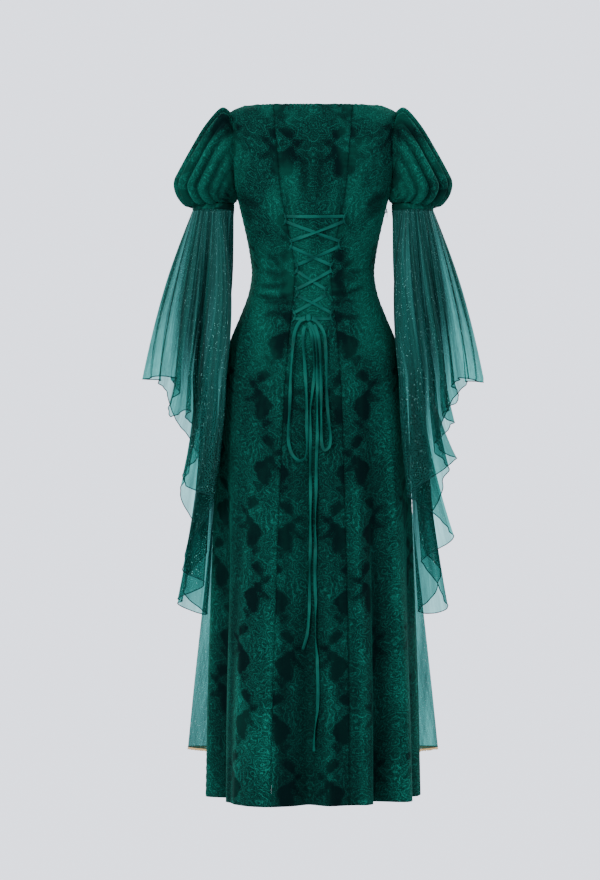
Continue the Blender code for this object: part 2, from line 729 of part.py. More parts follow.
def overlay_point(angle: float, level: float) -> Vector:
    """Point in the middle of the sheer overlay's wall, never nearer the velvet than its ease."""
    half_width, front = read(OVERLAY, level)
    across, along = math.sin(math.radians(angle)), math.cos(math.radians(angle))
    plain = 1.0 / math.hypot(across / half_width, along / front)
    freedom = math.sqrt((OVERLAY_TOP - level) / (OVERLAY_TOP - OVERLAY_HEM))
    spread = min(4.0 * freedom, 1.0)
    nearest = max(body_radius(angle + turn * spread, level) for turn in (-6, -3, 0, 3, 6))
    free = plain + folded(OVERLAY_FOLDS, angle, level, OVERLAY_HEM) if freedom > 0 else 0.0
    radius = max(free, nearest + OVERLAY_EASE + OVERLAY_SWING * freedom)
    return Vector((radius * across, radius * along, level))


def front_overlay() -> None:
    """The sheer overlay from the waist round the front, and the gold lace along its hem."""
    levels = [level for level in ROW_LEVELS if OVERLAY_TOP >= level > OVERLAY_HEM] + [OVERLAY_HEM]
    last = len(levels) - 1
    sweep = 360.0 - 2 * OVERLAY_EDGE

    def sheer(across: float, down: float) -> Vector:
        """Place on the sheer panel."""
        return overlay_point(OVERLAY_EDGE + sweep * across, levels[round(down * last)])

    def lace(across: float, down: float) -> Vector:
        """Place on the trim, straight below the hem."""
        point = overlay_point(OVERLAY_EDGE + sweep * across, OVERLAY_HEM)
        return point - Vector((0.0, 0.0, REST_GAP + TRIM_HEIGHT * down))

    cloth("front_overlay", 28, last, sheer, CHIFFON, SHEER_FINISH)
    cloth("gold_trim", 28, 1, lace, TRIM, TRIM_FINISH)


# ------------------------------------------------------------------ lacing, bow and zip
def ribbon(back: BackWall, name: str, route: list, lifts: list) -> bpy.types.Object:
    """A flat ribbon lying on the back along a route of places (across, level), lifted at each."""
    last = len(route) - 1

    def surface(across: float, down: float) -> Vector:
        """Place across the ribbon's width at one of its points."""
        i = round(down * last)
        before, after = route[max(i - 1, 0)], route[min(i + 1, last)]
        run, rise = after[0] - before[0], after[1] - before[1]
        reach = (across - 0.5) * RIBBON_WIDTH / math.hypot(run, rise)
        return back.lifted(route[i][0] - rise * reach, route[i][1] + run * reach, lifts[i])

    return cloth(name, 2, last, surface, RIBBON, RIBBON_FINISH)


def lacing_stretch(back: BackWall, name: str, start: tuple, end: tuple, steps: int, lifts: tuple) -> None:
    """One stretch of lacing over the back, with its lift at the start, the middle and the end."""
    route, heights = [], []
    for i in range(steps + 1):
        share = i / steps
        half = min(int(share * 2), 1)
        t = share * 2 - half
        route.append((start[0] + (end[0] - start[0]) * share, start[1] + (end[1] - start[1]) * share))
        heights.append(lifts[half] + (lifts[half + 1] - lifts[half]) * t * t * (3 - 2 * t))
    ribbon(back, name, route, heights)


def lacing(back: BackWall) -> None:
    """The top bar, the crossed stretches and the ten cord loops they run through."""
    low = LACE_GAP + RIBBON / 2
    high = low + CROSS_LIFT
    top = LACING[0]
    lacing_stretch(back, "lace_bar", (top.left - LACE_INSET, top.level + LACE_DROP),
                   (-top.right + LACE_INSET, top.level + LACE_DROP), 6, (high, high, high))
    for i in range(len(LACING) - 1):
        upper, lower = LACING[i], LACING[i + 1]
        over, under = (high, low) if i % 2 else (low, high)
        lacing_stretch(back, f"lace_{i + 1}_down_right", (upper.left - LACE_INSET, upper.level - LACE_DROP),
                       (-lower.right + LACE_INSET, lower.level + LACE_DROP), 8, (low, over, high))
        lacing_stretch(back, f"lace_{i + 1}_down_left", (-upper.right + LACE_INSET, upper.level - LACE_DROP),
                       (lower.left - LACE_INSET, lower.level + LACE_DROP), 8, (low, under, high))
    for i, anchor in enumerate(LACING):
        for side, across, label in ((1, anchor.left, "left"), (-1, -anchor.right, "right")):
            lacing_loop(back, f"lace_loop_{label}_{i + 1}", side, across, anchor.level)


def lacing_loop(back: BackWall, name: str, side: int, across: float, level: float) -> None:
    """A cord loop sewn into the seam, arching over the ribbon towards the centre."""
    seated = LACE_GAP + LOOP_RADIUS
    steps = 7
    points = []
    for i in range(steps + 1):
        turn = math.pi * i / steps
        lift = seated + (LOOP_ARCH - seated) * math.sin(turn) ** 0.7
        points.append(back.lifted(across - side * LOOP_REACH * math.sin(turn),
                                  level + LOOP_HALF * math.cos(turn), lift))
    cord(name, points, LOOP_RADIUS, 1, RIBBON_FINISH)


def hanging_ribbon(back: BackWall, name: str, places: tuple, steps: int, ends: tuple, lift: float) -> None:
    """A ribbon that hangs against the skirt on a smooth curve, its two ends lifted on their own."""
    route = [through(list(places), (len(places) - 1) * i / steps, False) for i in range(steps + 1)]
    lifts = []
    for i in range(steps + 1):
        shares = (max(1.0 - i / 3, 0.0) ** 1.5, max(1.0 - (steps - i) / 3, 0.0) ** 1.5)
        lifts.append(lift + sum((end - lift) * share for end, share in zip(ends, shares)))
    ribbon(back, name, route, lifts)


def bow(back: BackWall) -> None:
    """The knot, its two loops and its two free ends."""
    ball = bmesh.new()
    bmesh.ops.create_uvsphere(ball, u_segments=12, v_segments=8, radius=1.0)
    centre = back.lifted(KNOT_X, KNOT_LEVEL, KNOT_LIFT)
    for vert in ball.verts:
        vert.co = centre + Vector(vert.co[i] * KNOT_HALF[i] for i in range(3))
    mesh = bpy.data.meshes.new("bow_knot")
    ball.to_mesh(mesh)
    ball.free()
    mesh.shade_smooth()
    place_object("bow_knot", mesh, RIBBON_FINISH)
    low = HANG_GAP + RIBBON / 2
    tail = LACING[-1]
    tail_level = tail.level - TAIL_DROP
    for side, label, anchor in ((1, "left", tail.left), (-1, "right", tail.right)):
        lacing_stretch(back, f"lace_tail_{label}", (side * (anchor - LACE_INSET), tail_level),
                       (KNOT_X + side * KNOT_SIDE, KNOT_LEVEL), 4, (low, low, KNOT_LIFT))
    end_lift, bow_lift = low + END_LIFT, low + BOW_LIFT
    hanging_ribbon(back, "tie_end_left", LEFT_END_ROUTE, LEFT_END_STEPS, (LOW_END_START, low), low)
    hanging_ribbon(back, "tie_end_right", RIGHT_END_ROUTE, HANG_STEPS, (HIGH_END_START, end_lift), end_lift)
    for name, route in (("bow_loop_left", LEFT_BOW_ROUTE), ("bow_loop_right", RIGHT_BOW_ROUTE)):
        hanging_ribbon(back, name, route, HANG_STEPS, (BOW_START, BOW_START), bow_lift)


def zip_place(out: float, along: float, up: float) -> Vector:
    """Point by the right side seam: out from the cloth, along the front and up the seam."""
    surface = body_point(ZIP_ANGLE, ZIP_LEVEL)
    outward = body_normal(ZIP_ANGLE, ZIP_LEVEL)
    upward = Vector((0.0, 1.0, 0.0)).cross(outward).normalized()
    upward = upward if upward.z > 0 else -upward
    surface.y = 0.0
    return surface + outward * (VELVET / 2 + REST_GAP + out) + Vector((0.0, along, 0.0)) + upward * up


def zip_slider() -> None:
    """The side zip's slider: a rounded block with a bail that the pull tab hangs on."""
    deep, wide, tall = SLIDER_SIZE
    block = bmesh.new()
    bmesh.ops.create_cube(block, size=1.0)
    for vert in block.verts:
        vert.co = zip_place(deep * (vert.co.x + 0.5), vert.co.y * wide, vert.co.z * tall + SLIDER_RISE)
    bmesh.ops.recalc_face_normals(block, faces=block.faces[:])
    mesh = bpy.data.meshes.new("zip_slider")
    block.to_mesh(mesh)
    block.free()
    slider = place_object("zip_slider", mesh, METAL_FINISH)
    rounded = slider.modifiers.new("Rounded", "BEVEL")
    rounded.width = SLIDER_EDGE
    rounded.segments = 1

    steps = 8
    points = [zip_place(deep - BAIL_ROOT, 0.0, BAIL_BEND)]
    for i in range(steps + 1):
        turn = math.pi * i / steps
        points.append(zip_place(HINGE_REACH + BAIL_BEND * math.sin(turn), 0.0, BAIL_BEND * math.cos(turn)))
    points.append(zip_place(deep - BAIL_ROOT, 0.0, -BAIL_BEND))
    bail = cord("bail_shape", points, BAIL_RADIUS, 1, METAL_FINISH)
    bpy.context.view_layer.update()
    evaluated = bail.evaluated_get(bpy.context.evaluated_depsgraph_get())
    solid = bpy.data.meshes.new_from_object(evaluated)
    shape = bmesh.new()
    shape.from_mesh(solid)
    bmesh.ops.remove_doubles(shape, verts=shape.verts[:], dist=MERGE)
    shape.to_mesh(solid)
    shape.free()
    bpy.data.objects.remove(bail)
    cutter = bpy.data.objects.new("bail_cutter", solid)
    bpy.data.collections["cutters"].objects.link(cutter)
    cutter.hide_render = True
    cutter.display_type = "WIRE"
    join = slider.modifiers.new("Bail", "BOOLEAN")
    join.operation = "UNION"
    join.object = cutter


def zip_pull() -> None:
    """The teardrop pull tab, hanging from the bail by the bar above its slot."""
    hinge = zip_place(HINGE_REACH, 0.0, 0.0)
    curve = bpy.data.curves.new("zip_pull", "CURVE")
    curve.dimensions = "2D"
    curve.fill_mode = "BOTH"
    curve.extrude = PULL / 2
    half_slot, slot_top, slot_base = PULL_SLOT
    outline = [(half, -drop) for half, drop in PULL_OUTLINE]
    outline += [(-half, -drop) for half, drop in reversed(PULL_OUTLINE)]
    slot = [(-half_slot, -slot_top), (half_slot, -slot_top), (half_slot, -slot_base), (-half_slot, -slot_base)]
    for points in (outline, slot):
        spline = curve.splines.new("POLY")
        spline.points.add(len(points) - 1)
        spline.use_cyclic_u = True
        for target, (across, up) in zip(spline.points, points):
            target.co = (across, up, 0.0, 1.0)
    pull = place_object("zip_pull", curve, METAL_FINISH)
    pull.location = hinge
    pull.rotation_euler = (math.radians(90.0), 0.0, math.radians(90.0))


def build() -> None:
    """Clear the scene and build the gown."""
    for leftover in list(bpy.data.objects):
        bpy.data.objects.remove(leftover)
    for name in (COLLECTION, "cutters"):
        collection = bpy.data.collections.new(name)
        bpy.context.scene.collection.children.link(collection)
    velvet_body()
    for side, label, drape in ((1, "left", LEFT_DRAPE), (-1, "right", RIGHT_DRAPE)):
        puff(side, label)
        arm_band(side, label)
        sheer_sleeve(side, label, drape)
    front_overlay()
    back = BackWall()
    lacing(back)
    bow(back)
    zip_slider()
    zip_pull()


build()
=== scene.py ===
"""Looks of the back-laced velvet gown: damask velvet, glitter chiffon, satin ribbons and gold lace.

Metres, +Z up.  The laced back faces +Y and the gown's left side is +X.  A place on the velvet body is
an angle and a level: 0 is the middle of the back, 90 the left side seam, 180 the middle of the front.
The cloth shells follow the same rings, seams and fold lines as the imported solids.
"""
import logging
import math
from collections.abc import Callable
from dataclasses import dataclass
from enum import Enum
from typing import NamedTuple

import bpy
import numpy as np
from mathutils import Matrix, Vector


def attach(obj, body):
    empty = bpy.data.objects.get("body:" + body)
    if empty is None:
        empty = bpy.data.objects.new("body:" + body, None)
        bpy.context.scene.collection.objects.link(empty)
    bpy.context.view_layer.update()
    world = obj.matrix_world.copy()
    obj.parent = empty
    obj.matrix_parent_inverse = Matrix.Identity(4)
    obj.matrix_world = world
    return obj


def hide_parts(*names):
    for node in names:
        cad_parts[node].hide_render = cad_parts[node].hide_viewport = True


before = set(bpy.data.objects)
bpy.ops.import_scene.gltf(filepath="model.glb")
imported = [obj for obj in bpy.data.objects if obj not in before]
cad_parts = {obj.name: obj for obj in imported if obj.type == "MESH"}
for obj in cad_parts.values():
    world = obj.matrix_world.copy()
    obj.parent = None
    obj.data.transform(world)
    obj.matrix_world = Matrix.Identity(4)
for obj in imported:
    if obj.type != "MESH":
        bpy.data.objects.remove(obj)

LOG = logging.getLogger("gown")
DRESS = "dress"

Colour = tuple[float, float, float]

# ------------------------------------------------------------------ driving sizes (metres)
LENGTH = 1.375  # shoulder line to hem
VELVET = 0.0018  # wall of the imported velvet
REST_GAP = 0.0003  # air between pieces that rest on each other
NECK_DROP = 0.042  # front of the neckline below its back
NECK_FADE = 0.16  # depth over which that drop fades out

ARMHOLE_TOP = -0.010
ARMHOLE_BASE = -0.183
ARMHOLE_MIDDLE = (ARMHOLE_TOP + ARMHOLE_BASE) / 2
ARMHOLE_HALF = (ARMHOLE_TOP - ARMHOLE_BASE) / 2
ARMHOLE_HALF_DEPTH = 0.045

PUFF_STANDOFF = 0.0021  # sleeve head's rim outside the body's wall
BAND_TOP = -0.1925
BAND_BASE = -0.2050
BAND_INNER = 0.158
BAND_OUTER = 0.2405
BAND_MIDDLE = (BAND_OUTER + BAND_INNER) / 2
BAND_HALF_WIDTH = (BAND_OUTER - BAND_INNER) / 2
BAND_HALF_DEPTH = 0.043

SLEEVE_TOP = BAND_BASE - REST_GAP
SLEEVE_KNEE = -0.540  # level at which the sleeve leaves the forearm
SLEEVE_TUCK = 0.016  # how far its inner side is drawn in on the way there
SLEEVE_DRIFT = 1.6  # power by which its points swing out below

OVERLAY_TOP = -0.415
OVERLAY_HEM = -1.288
OVERLAY_EDGE = 101.0  # angle of its open edge
OVERLAY_EASE = 0.0018  # least distance from the velvet's middle, and what swing adds below
OVERLAY_SWING = 0.0050
TRIM_HEIGHT = 0.0060

RIBBON_WIDTH = 0.0065
RIBBON = 0.0010
LOOP_RADIUS = 0.0009


def table(kind: type, *rows: tuple) -> tuple:
    """A table whose rows are all of one kind."""
    return tuple(kind(*row) for row in rows)


class Section(NamedTuple):
    """One ring of the velvet body: its half width, its reach behind and before, its squareness."""

    level: float
    half_width: float
    back: float
    front: float
    power: float


BODY = table(Section,
    (0.002, 0.138, 0.06, 0.08, 2.6), (-0.01, 0.164, 0.072, 0.091, 2.6),
    (-0.03, 0.1655, 0.083, 0.101, 2.6), (-0.06, 0.166, 0.092, 0.112, 2.6),
    (-0.1, 0.167, 0.098, 0.124, 2.6), (-0.15, 0.161, 0.099, 0.134, 2.6),
    (-0.185, 0.15, 0.096, 0.136, 2.5), (-0.225, 0.14, 0.09, 0.13, 2.5),
    (-0.27, 0.13, 0.083, 0.114, 2.4), (-0.31, 0.1235, 0.079, 0.101, 2.3),
    (-0.335, 0.122, 0.079, 0.096, 2.3), (-0.375, 0.129, 0.087, 0.098, 2.3),
    (-0.415, 0.144, 0.099, 0.104, 2.3), (-0.47, 0.166, 0.115, 0.112, 2.2),
    (-0.56, 0.184, 0.132, 0.124, 2.1), (-0.7, 0.193, 0.148, 0.14, 2.0), (-0.9, 0.199, 0.168, 0.16, 2.0),
    (-1.15, 0.206, 0.19, 0.18, 2.0), (-LENGTH, 0.209, 0.2, 0.192, 2.0),
)


class Seam(NamedTuple):
    """Angles of the two shaped seams, behind and before, at one level."""

    level: float
    back: float
    front: float


SEAMS = table(Seam,
    (0.002, 55.0, 130.0), (-0.01, 49.0, 134.0), (-0.03, 44.0, 138.0), (-0.1, 37.0, 146.0),
    (-0.185, 34.0, 150.0), (-0.225, 32.0, 151.0), (-0.335, 25.0, 150.0), (-0.42, 23.5, 150.0),
    (-0.6, 23.5, 148.0), (-LENGTH, 22.0, 148.0),
)


class Fold(NamedTuple):
    """A soft ridge (+) or valley (-) of a skirt: where, how deep at the hem, how wide, from where."""

    angle: float
    depth: float
    spread: float
    start: float


SKIRT_FOLDS = table(Fold,
    (88, 0.006, 10.0, -0.55), (71, -0.056, 8.5, -0.56), (31, 0.026, 15.0, -0.46),
    (3, -0.04, 9.0, -0.46), (-21, -0.014, 12.0, -0.5), (-47, -0.052, 7.5, -0.5),
    (-60, 0.014, 7.5, -0.52), (-78, -0.022, 7.0, -0.6), (-97, 0.008, 7.0, -0.6),
    (-116, -0.014, 7.0, -0.6), (-134, 0.01, 7.0, -0.55), (-152, -0.016, 7.0, -0.55),
    (-170, 0.01, 7.0, -0.55), (172, -0.016, 7.0, -0.55), (154, 0.012, 7.0, -0.55),
    (136, -0.016, 7.0, -0.55), (118, 0.012, 7.0, -0.58), (104, -0.01, 8.0, -0.6),
)

# Sharper ridges and shallow troughs pressed into the velvet, between the deep folds.
NAP_FOLDS = table(Fold,
    (-31, 0.005, 2.2, -0.44), (-58, 0.0045, 2.4, -0.5), (-69, -0.003, 2.6, -0.6),
    (17, -0.003, 3.0, -0.52), (24, 0.003, 2.5, -0.6), (44, 0.0035, 3.0, -0.56),
    (52, -0.0028, 2.6, -0.7), (84, 0.0026, 2.4, -0.62), (-10, 0.0026, 2.4, -0.72),
    (98, 0.0026, 2.6, -0.6), (128, 0.0032, 2.8, -0.55), (147, -0.0028, 2.6, -0.6),
    (163, 0.003, 2.6, -0.52), (180, 0.0026, 2.4, -0.6), (-161, 0.003, 2.8, -0.56),
    (-143, -0.0026, 2.6, -0.62), (-125, 0.0032, 2.8, -0.55), (-106, -0.0026, 2.6, -0.6),
    (-88, 0.0028, 2.4, -0.64),
)


FOLD_GROWTH = 1.1  # power by which a fold deepens towards the hem
HALVINGS = 40  # steps by which an angle is closed in on


class Crease(NamedTuple):
    """A soft trough (-) or ridge (+) of the bodice between two places, by distance from the centre
    line and level.  behind tells which half of the gown it lies on, and bow how far it sags."""

    start_x: float
    start_z: float
    end_x: float
    end_z: float
    depth: float
    half_width: float
    bow: float
    behind: bool


CREASES = table(Crease,
    (0.05, -0.3795, 0.112, -0.376, -0.0028, 0.003, -0.004, True),
    (0.052, -0.374, 0.104, -0.369, 0.0018, 0.0026, -0.003, True),
    (0.048, -0.39, 0.098, -0.388, -0.0016, 0.0032, -0.003, True),
    (0.05, -0.418, 0.096, -0.417, -0.002, 0.0034, 0.003, True),
    (0.056, -0.334, 0.1, -0.33, -0.0014, 0.004, -0.003, True),
    (0.054, -0.356, 0.106, -0.357, -0.0018, 0.0036, -0.0036, True),
    (0.06, -0.302, 0.096, -0.296, -0.001, 0.0044, -0.003, True),
    (-0.038, -0.374, -0.098, -0.36, -0.0028, 0.003, 0.005, True),
    (-0.04, -0.369, -0.088, -0.356, 0.0018, 0.0026, 0.004, True),
    (-0.052, -0.419, -0.092, -0.422, -0.0018, 0.0034, 0.002, True),
    (-0.046, -0.393, -0.086, -0.39, -0.0014, 0.0036, -0.002, True),
    (-0.058, -0.34, -0.1, -0.33, -0.001, 0.0044, -0.003, True),
    (0.018, -0.1, 0.012, -0.19, -0.001, 0.006, 0.002, True),
    (-0.014, -0.09, -0.01, -0.185, -0.001, 0.006, -0.002, True),
    (0.052, -0.17, 0.046, -0.24, -0.001, 0.006, 0.003, True),
    (-0.056, -0.16, -0.05, -0.24, -0.001, 0.006, -0.003, True),
    (0.148, -0.175, 0.108, -0.202, -0.0022, 0.0055, 0.003, True),
    (0.146, -0.195, 0.118, -0.224, -0.0014, 0.005, 0.003, True),
    (-0.146, -0.176, -0.108, -0.205, -0.0022, 0.0055, 0.003, True),
    (-0.14, -0.196, -0.112, -0.226, -0.0014, 0.005, 0.003, True),
    (0.1, -0.318, 0.052, -0.324, -0.0018, 0.0034, -0.003, False),
    (0.106, -0.346, 0.048, -0.352, -0.0022, 0.0034, 0.003, False),
    (0.104, -0.374, 0.056, -0.376, -0.0016, 0.0036, 0.003, False),
    (-0.104, -0.322, -0.05, -0.326, -0.0018, 0.0034, -0.003, False),
    (-0.106, -0.352, -0.046, -0.356, -0.0022, 0.0034, 0.003, False),
    (-0.1, -0.38, -0.058, -0.384, -0.0014, 0.0036, 0.003, False),
    (0.146, -0.178, 0.1, -0.212, -0.0022, 0.006, 0.003, False),
    (-0.146, -0.18, -0.102, -0.216, -0.002, 0.006, 0.003, False),
    (0.03, -0.23, 0.034, -0.3, -0.0012, 0.006, 0.002, False),
    (-0.026, -0.24, -0.03, -0.305, -0.0012, 0.006, -0.002, False),
)


class FoldOver(NamedTuple):
    """One row of a folded edge: how far it lies from the edge's level and behind the outer face."""

    rise: float
    behind: float


# From inside the gown round to its outer face; the hem's rows are the same, upside down.
FOLD_OVER = table(FoldOver,
    (0.015, 0.0037), (0.008, 0.0037), (0.003, 0.0036), (0.001, 0.003), (0.0002, 0.002), (0.0002, 0.001),
)


class PuffRing(NamedTuple):
    """One ring of a sleeve head, by its outermost and innermost points and its half depth."""

    outer_x: float
    outer_z: float
    inner_x: float
    inner_z: float
    half_depth: float


PUFF = table(PuffRing,
    (0.183, -0.001, 0.1545, -0.1865, 0.056), (0.213, -0.036, 0.1548, -0.187, 0.062),
    (0.239, -0.08, 0.1552, -0.1875, 0.068), (0.265, -0.128, 0.1556, -0.188, 0.071),
    (0.2745, -0.15, 0.156, -0.1885, 0.07), (0.271, -0.172, 0.1564, -0.1889, 0.065),
    (0.2595, -0.19, 0.1569, -0.1893, 0.057), (0.2495, -0.1962, 0.1574, -0.1897, 0.049),
    (BAND_OUTER, BAND_TOP + 0.0026, BAND_INNER, BAND_TOP + 0.0026, BAND_HALF_DEPTH),
)


class Gather(NamedTuple):
    """A groove (-) or ridge (+) of a sleeve head that runs from its seam to its band: the turn where
    it starts and ends, its depth and its half width in degrees of turn."""

    start: float
    end: float
    depth: float
    half_width: float


GATHERS = table(Gather,
    (4, -6, -0.006, 4.0), (14, 10, 0.0042, 4.5), (24, 26, -0.0085, 4.0), (36, 40, 0.005, 5.0),
    (47, 53, -0.0075, 3.6), (57, 66, 0.0042, 4.4), (66, 78, -0.008, 4.2), (78, 92, 0.004, 5.0),
    (90, 106, -0.006, 4.6), (112, 124, -0.0034, 5.0), (146, 150, -0.002, 6.0), (-14, -22, -0.0075, 4.0),
    (-26, -34, 0.0044, 5.0), (-38, -48, -0.008, 4.2), (-52, -62, 0.0042, 4.6), (-62, -76, -0.0072, 4.0),
    (-76, -90, 0.004, 5.0), (-92, -104, -0.0056, 4.6), (-118, -126, -0.003, 5.4),
)


class Drape(NamedTuple):
    """One fold line of a sheer sleeve: its angle on the arm band, its place at the knee level,
    its place at the hem and the hem's level.  out and back are measured from the centre line."""

    band_angle: float
    knee_out: float
    knee_back: float
    hem_out: float
    hem_back: float
    hem_level: float


LEFT_DRAPE = table(Drape,
    (0, 0.33, 0.02, 0.33, 0.02, -0.542), (28, 0.302, 0.052, 0.302, 0.052, -0.537),
    (48, 0.276, 0.058, 0.274, 0.06, -0.548), (60, 0.268, 0.08, 0.283, 0.088, -0.616),
    (73, 0.247, 0.086, 0.25, 0.092, -0.606), (85, 0.236, 0.052, 0.238, 0.05, -0.655),
    (97, 0.219, 0.086, 0.25, 0.092, -0.748), (117, 0.175, 0.09, 0.2, 0.096, -0.776),
    (130, 0.19, 0.056, 0.212, 0.062, -0.815), (146, 0.214, 0.044, 0.262, 0.05, -0.912),
    (164, 0.196, 0.028, 0.216, 0.034, -0.95), (180, 0.214, 0.014, 0.274, 0.016, -0.986),
    (198, 0.192, 0.0, 0.213, 0.002, -1.012), (220, 0.222, -0.014, 0.262, -0.014, -0.96),
    (242, 0.196, -0.028, 0.218, -0.03, -0.88), (266, 0.234, -0.034, 0.268, -0.036, -0.77),
    (290, 0.226, -0.058, 0.238, -0.062, -0.69), (312, 0.266, -0.044, 0.28, -0.048, -0.615),
    (336, 0.3, -0.036, 0.302, -0.036, -0.552),
)

RIGHT_DRAPE = table(Drape,
    (0, 0.331, 0.018, 0.33, 0.018, -0.548), (26, 0.306, 0.046, 0.306, 0.046, -0.542),
    (44, 0.284, 0.05, 0.283, 0.05, -0.545), (56, 0.274, 0.056, 0.286, 0.06, -0.586),
    (67, 0.258, 0.066, 0.26, 0.072, -0.604), (77, 0.254, 0.08, 0.269, 0.084, -0.638),
    (88, 0.238, 0.07, 0.243, 0.078, -0.672), (100, 0.226, 0.092, 0.272, 0.096, -0.708),
    (120, 0.172, 0.09, 0.19, 0.098, -0.768), (134, 0.192, 0.056, 0.22, 0.062, -0.795),
    (150, 0.214, 0.046, 0.278, 0.048, -0.856), (166, 0.196, 0.028, 0.222, 0.03, -0.905),
    (182, 0.214, 0.012, 0.27, 0.014, -0.994), (200, 0.192, -0.002, 0.214, 0.0, -1.006),
    (222, 0.222, -0.016, 0.258, -0.016, -0.94), (244, 0.198, -0.03, 0.218, -0.032, -0.86),
    (270, 0.236, -0.036, 0.266, -0.038, -0.75), (296, 0.24, -0.058, 0.25, -0.06, -0.66),
    (328, 0.296, -0.04, 0.3, -0.04, -0.556),
)


class OverlayRing(NamedTuple):
    """One ring of the front overlay: its half width and its reach before."""

    level: float
    half_width: float
    front: float


OVERLAY = table(OverlayRing,
    (OVERLAY_TOP, 0.147, 0.1075), (-0.47, 0.17, 0.119), (-0.56, 0.19, 0.136), (-0.7, 0.201, 0.158),
    (-0.9, 0.209, 0.186), (-1.15, 0.218, 0.212), (OVERLAY_HEM, 0.221, 0.226),
)

OVERLAY_FOLDS = table(Fold,
    (115, 0.057, 6.5, -0.5), (128, -0.008, 6.0, -0.6), (142, 0.02, 6.5, -0.5), (157, -0.004, 6.0, -0.6),
    (171, 0.018, 6.5, -0.5), (-174, -0.006, 6.0, -0.6), (-160, 0.02, 6.5, -0.5),
    (-145, -0.004, 6.0, -0.6), (-131, 0.018, 6.0, -0.55), (-115, 0.058, 6.5, -0.5),
)


class Anchor(NamedTuple):
    """A lacing loop's place on the back: distance from the centre line and level."""

    left: float
    right: float
    level: float


LACING = table(Anchor,
    (0.06, 0.066, -0.227), (0.049, 0.056, -0.276), (0.0375, 0.04, -0.324), (0.037, 0.029, -0.373),
    (0.042, 0.04, -0.42),
)
LACE_GAP = 0.0006  # ribbon above the velvet
CROSS_LIFT = 0.0016  # what the upper of two crossed ribbons adds to it
LACE_INSET = 0.0030  # ribbon's end inside its loop, and above or below it
LACE_DROP = 0.0045
TAIL_DROP = 0.0055
LOOP_ARCH = 0.0055  # a cord loop's height, its reach to the middle and its half height
LOOP_REACH = 0.0070
LOOP_HALF = 0.0115

KNOT_X = 0.0090
KNOT_LEVEL = -0.4260
KNOT_HALF = (0.006, 0.0036, 0.0075)
KNOT_LIFT = 0.0066  # its middle above the velvet
KNOT_SIDE = 0.0066  # where the tails run into it

HANG_GAP = 0.0010  # what hangs, above the velvet
END_LIFT = 0.0018
BOW_LIFT = 0.0040

# Routes of the hanging ribbons: distance from the centre line (+ is left) and level.
LEFT_BOW_ROUTE = (
    (0.0152, -0.4285), (0.026, -0.434), (0.035, -0.452), (0.039, -0.478), (0.0415, -0.51),
    (0.044, -0.545), (0.045, -0.58), (0.0465, -0.615), (0.0485, -0.645), (0.048, -0.67),
    (0.042, -0.692), (0.03, -0.705), (0.019, -0.7), (0.014, -0.68), (0.0135, -0.65), (0.014, -0.62),
    (0.014, -0.59), (0.015, -0.56), (0.0165, -0.53), (0.018, -0.5), (0.02, -0.475), (0.019, -0.454),
    (0.0165, -0.444),
)
RIGHT_BOW_ROUTE = (
    (0.003, -0.429), (-0.006, -0.433), (-0.015, -0.444), (-0.0215, -0.46), (-0.024, -0.485),
    (-0.025, -0.515), (-0.0255, -0.545), (-0.026, -0.575), (-0.0275, -0.605), (-0.03, -0.635),
    (-0.0325, -0.66), (-0.03, -0.678), (-0.022, -0.684), (-0.017, -0.67), (-0.0165, -0.64),
    (-0.016, -0.605), (-0.0155, -0.57), (-0.015, -0.535), (-0.014, -0.5), (-0.011, -0.47),
    (-0.006, -0.45), (-0.001, -0.44),
)
LEFT_END_ROUTE = (
    (0.009, -0.4345), (0.005, -0.448), (0.001, -0.47), (-0.002, -0.5), (-0.0035, -0.525),
    (-0.001, -0.55), (0.003, -0.58), (0.0062, -0.605), (0.006, -0.64), (0.0052, -0.68), (0.005, -0.73),
    (0.0052, -0.79), (0.0054, -0.85), (0.0058, -0.91), (0.0068, -0.96), (0.009, -1.005),
    (0.014, -1.045), (0.022, -1.072),
)
RIGHT_END_ROUTE = (
    (0.0085, -0.4345), (-0.002, -0.452), (-0.007, -0.485), (-0.0085, -0.52), (-0.0085, -0.56),
    (-0.0085, -0.6), (-0.0088, -0.65), (-0.008, -0.7), (-0.007, -0.76), (-0.0065, -0.82),
    (-0.0062, -0.88), (-0.0064, -0.94), (-0.0072, -1.0), (-0.0082, -1.06), (-0.012, -1.12),
    (-0.0125, -1.16), (-0.009, -1.205), (-0.0045, -1.25), (-0.004, -1.27),
)


# ------------------------------------------------------------------ reading the tables
def read(rows: tuple, level: np.ndarray) -> np.ndarray:
    """Smooth reading of a table, whose first column is the level, by a cubic through its rows.

    Args:
        rows: Rows ordered downwards.
        level: Heights to read at, of any shape.

    Returns:
        The other columns' values, with one more axis at the end.
    """
    grid = np.array(rows, dtype=float)
    levels, last = grid[:, 0], len(grid) - 1
    step = np.arange(last + 1)
    before, after = np.maximum(step - 1, 0), np.minimum(step + 1, last)
    slopes = (grid[after] - grid[before]) / (levels[after] - levels[before])[:, None]
    height = np.clip(np.asarray(level, dtype=float), levels[-1], levels[0])
    low = np.clip(np.searchsorted(-levels, -height, side="right") - 1, 0, last - 1)
    span = levels[low + 1] - levels[low]
    t = ((height - levels[low]) / span)[..., None]
    span = span[..., None]
    values = (
        (2 * t**3 - 3 * t**2 + 1) * grid[low] + (t**3 - 2 * t**2 + t) * slopes[low] * span
        + (3 * t**2 - 2 * t**3) * grid[low + 1] + (t**3 - t**2) * slopes[low + 1] * span
    )
    return values[..., 1:]


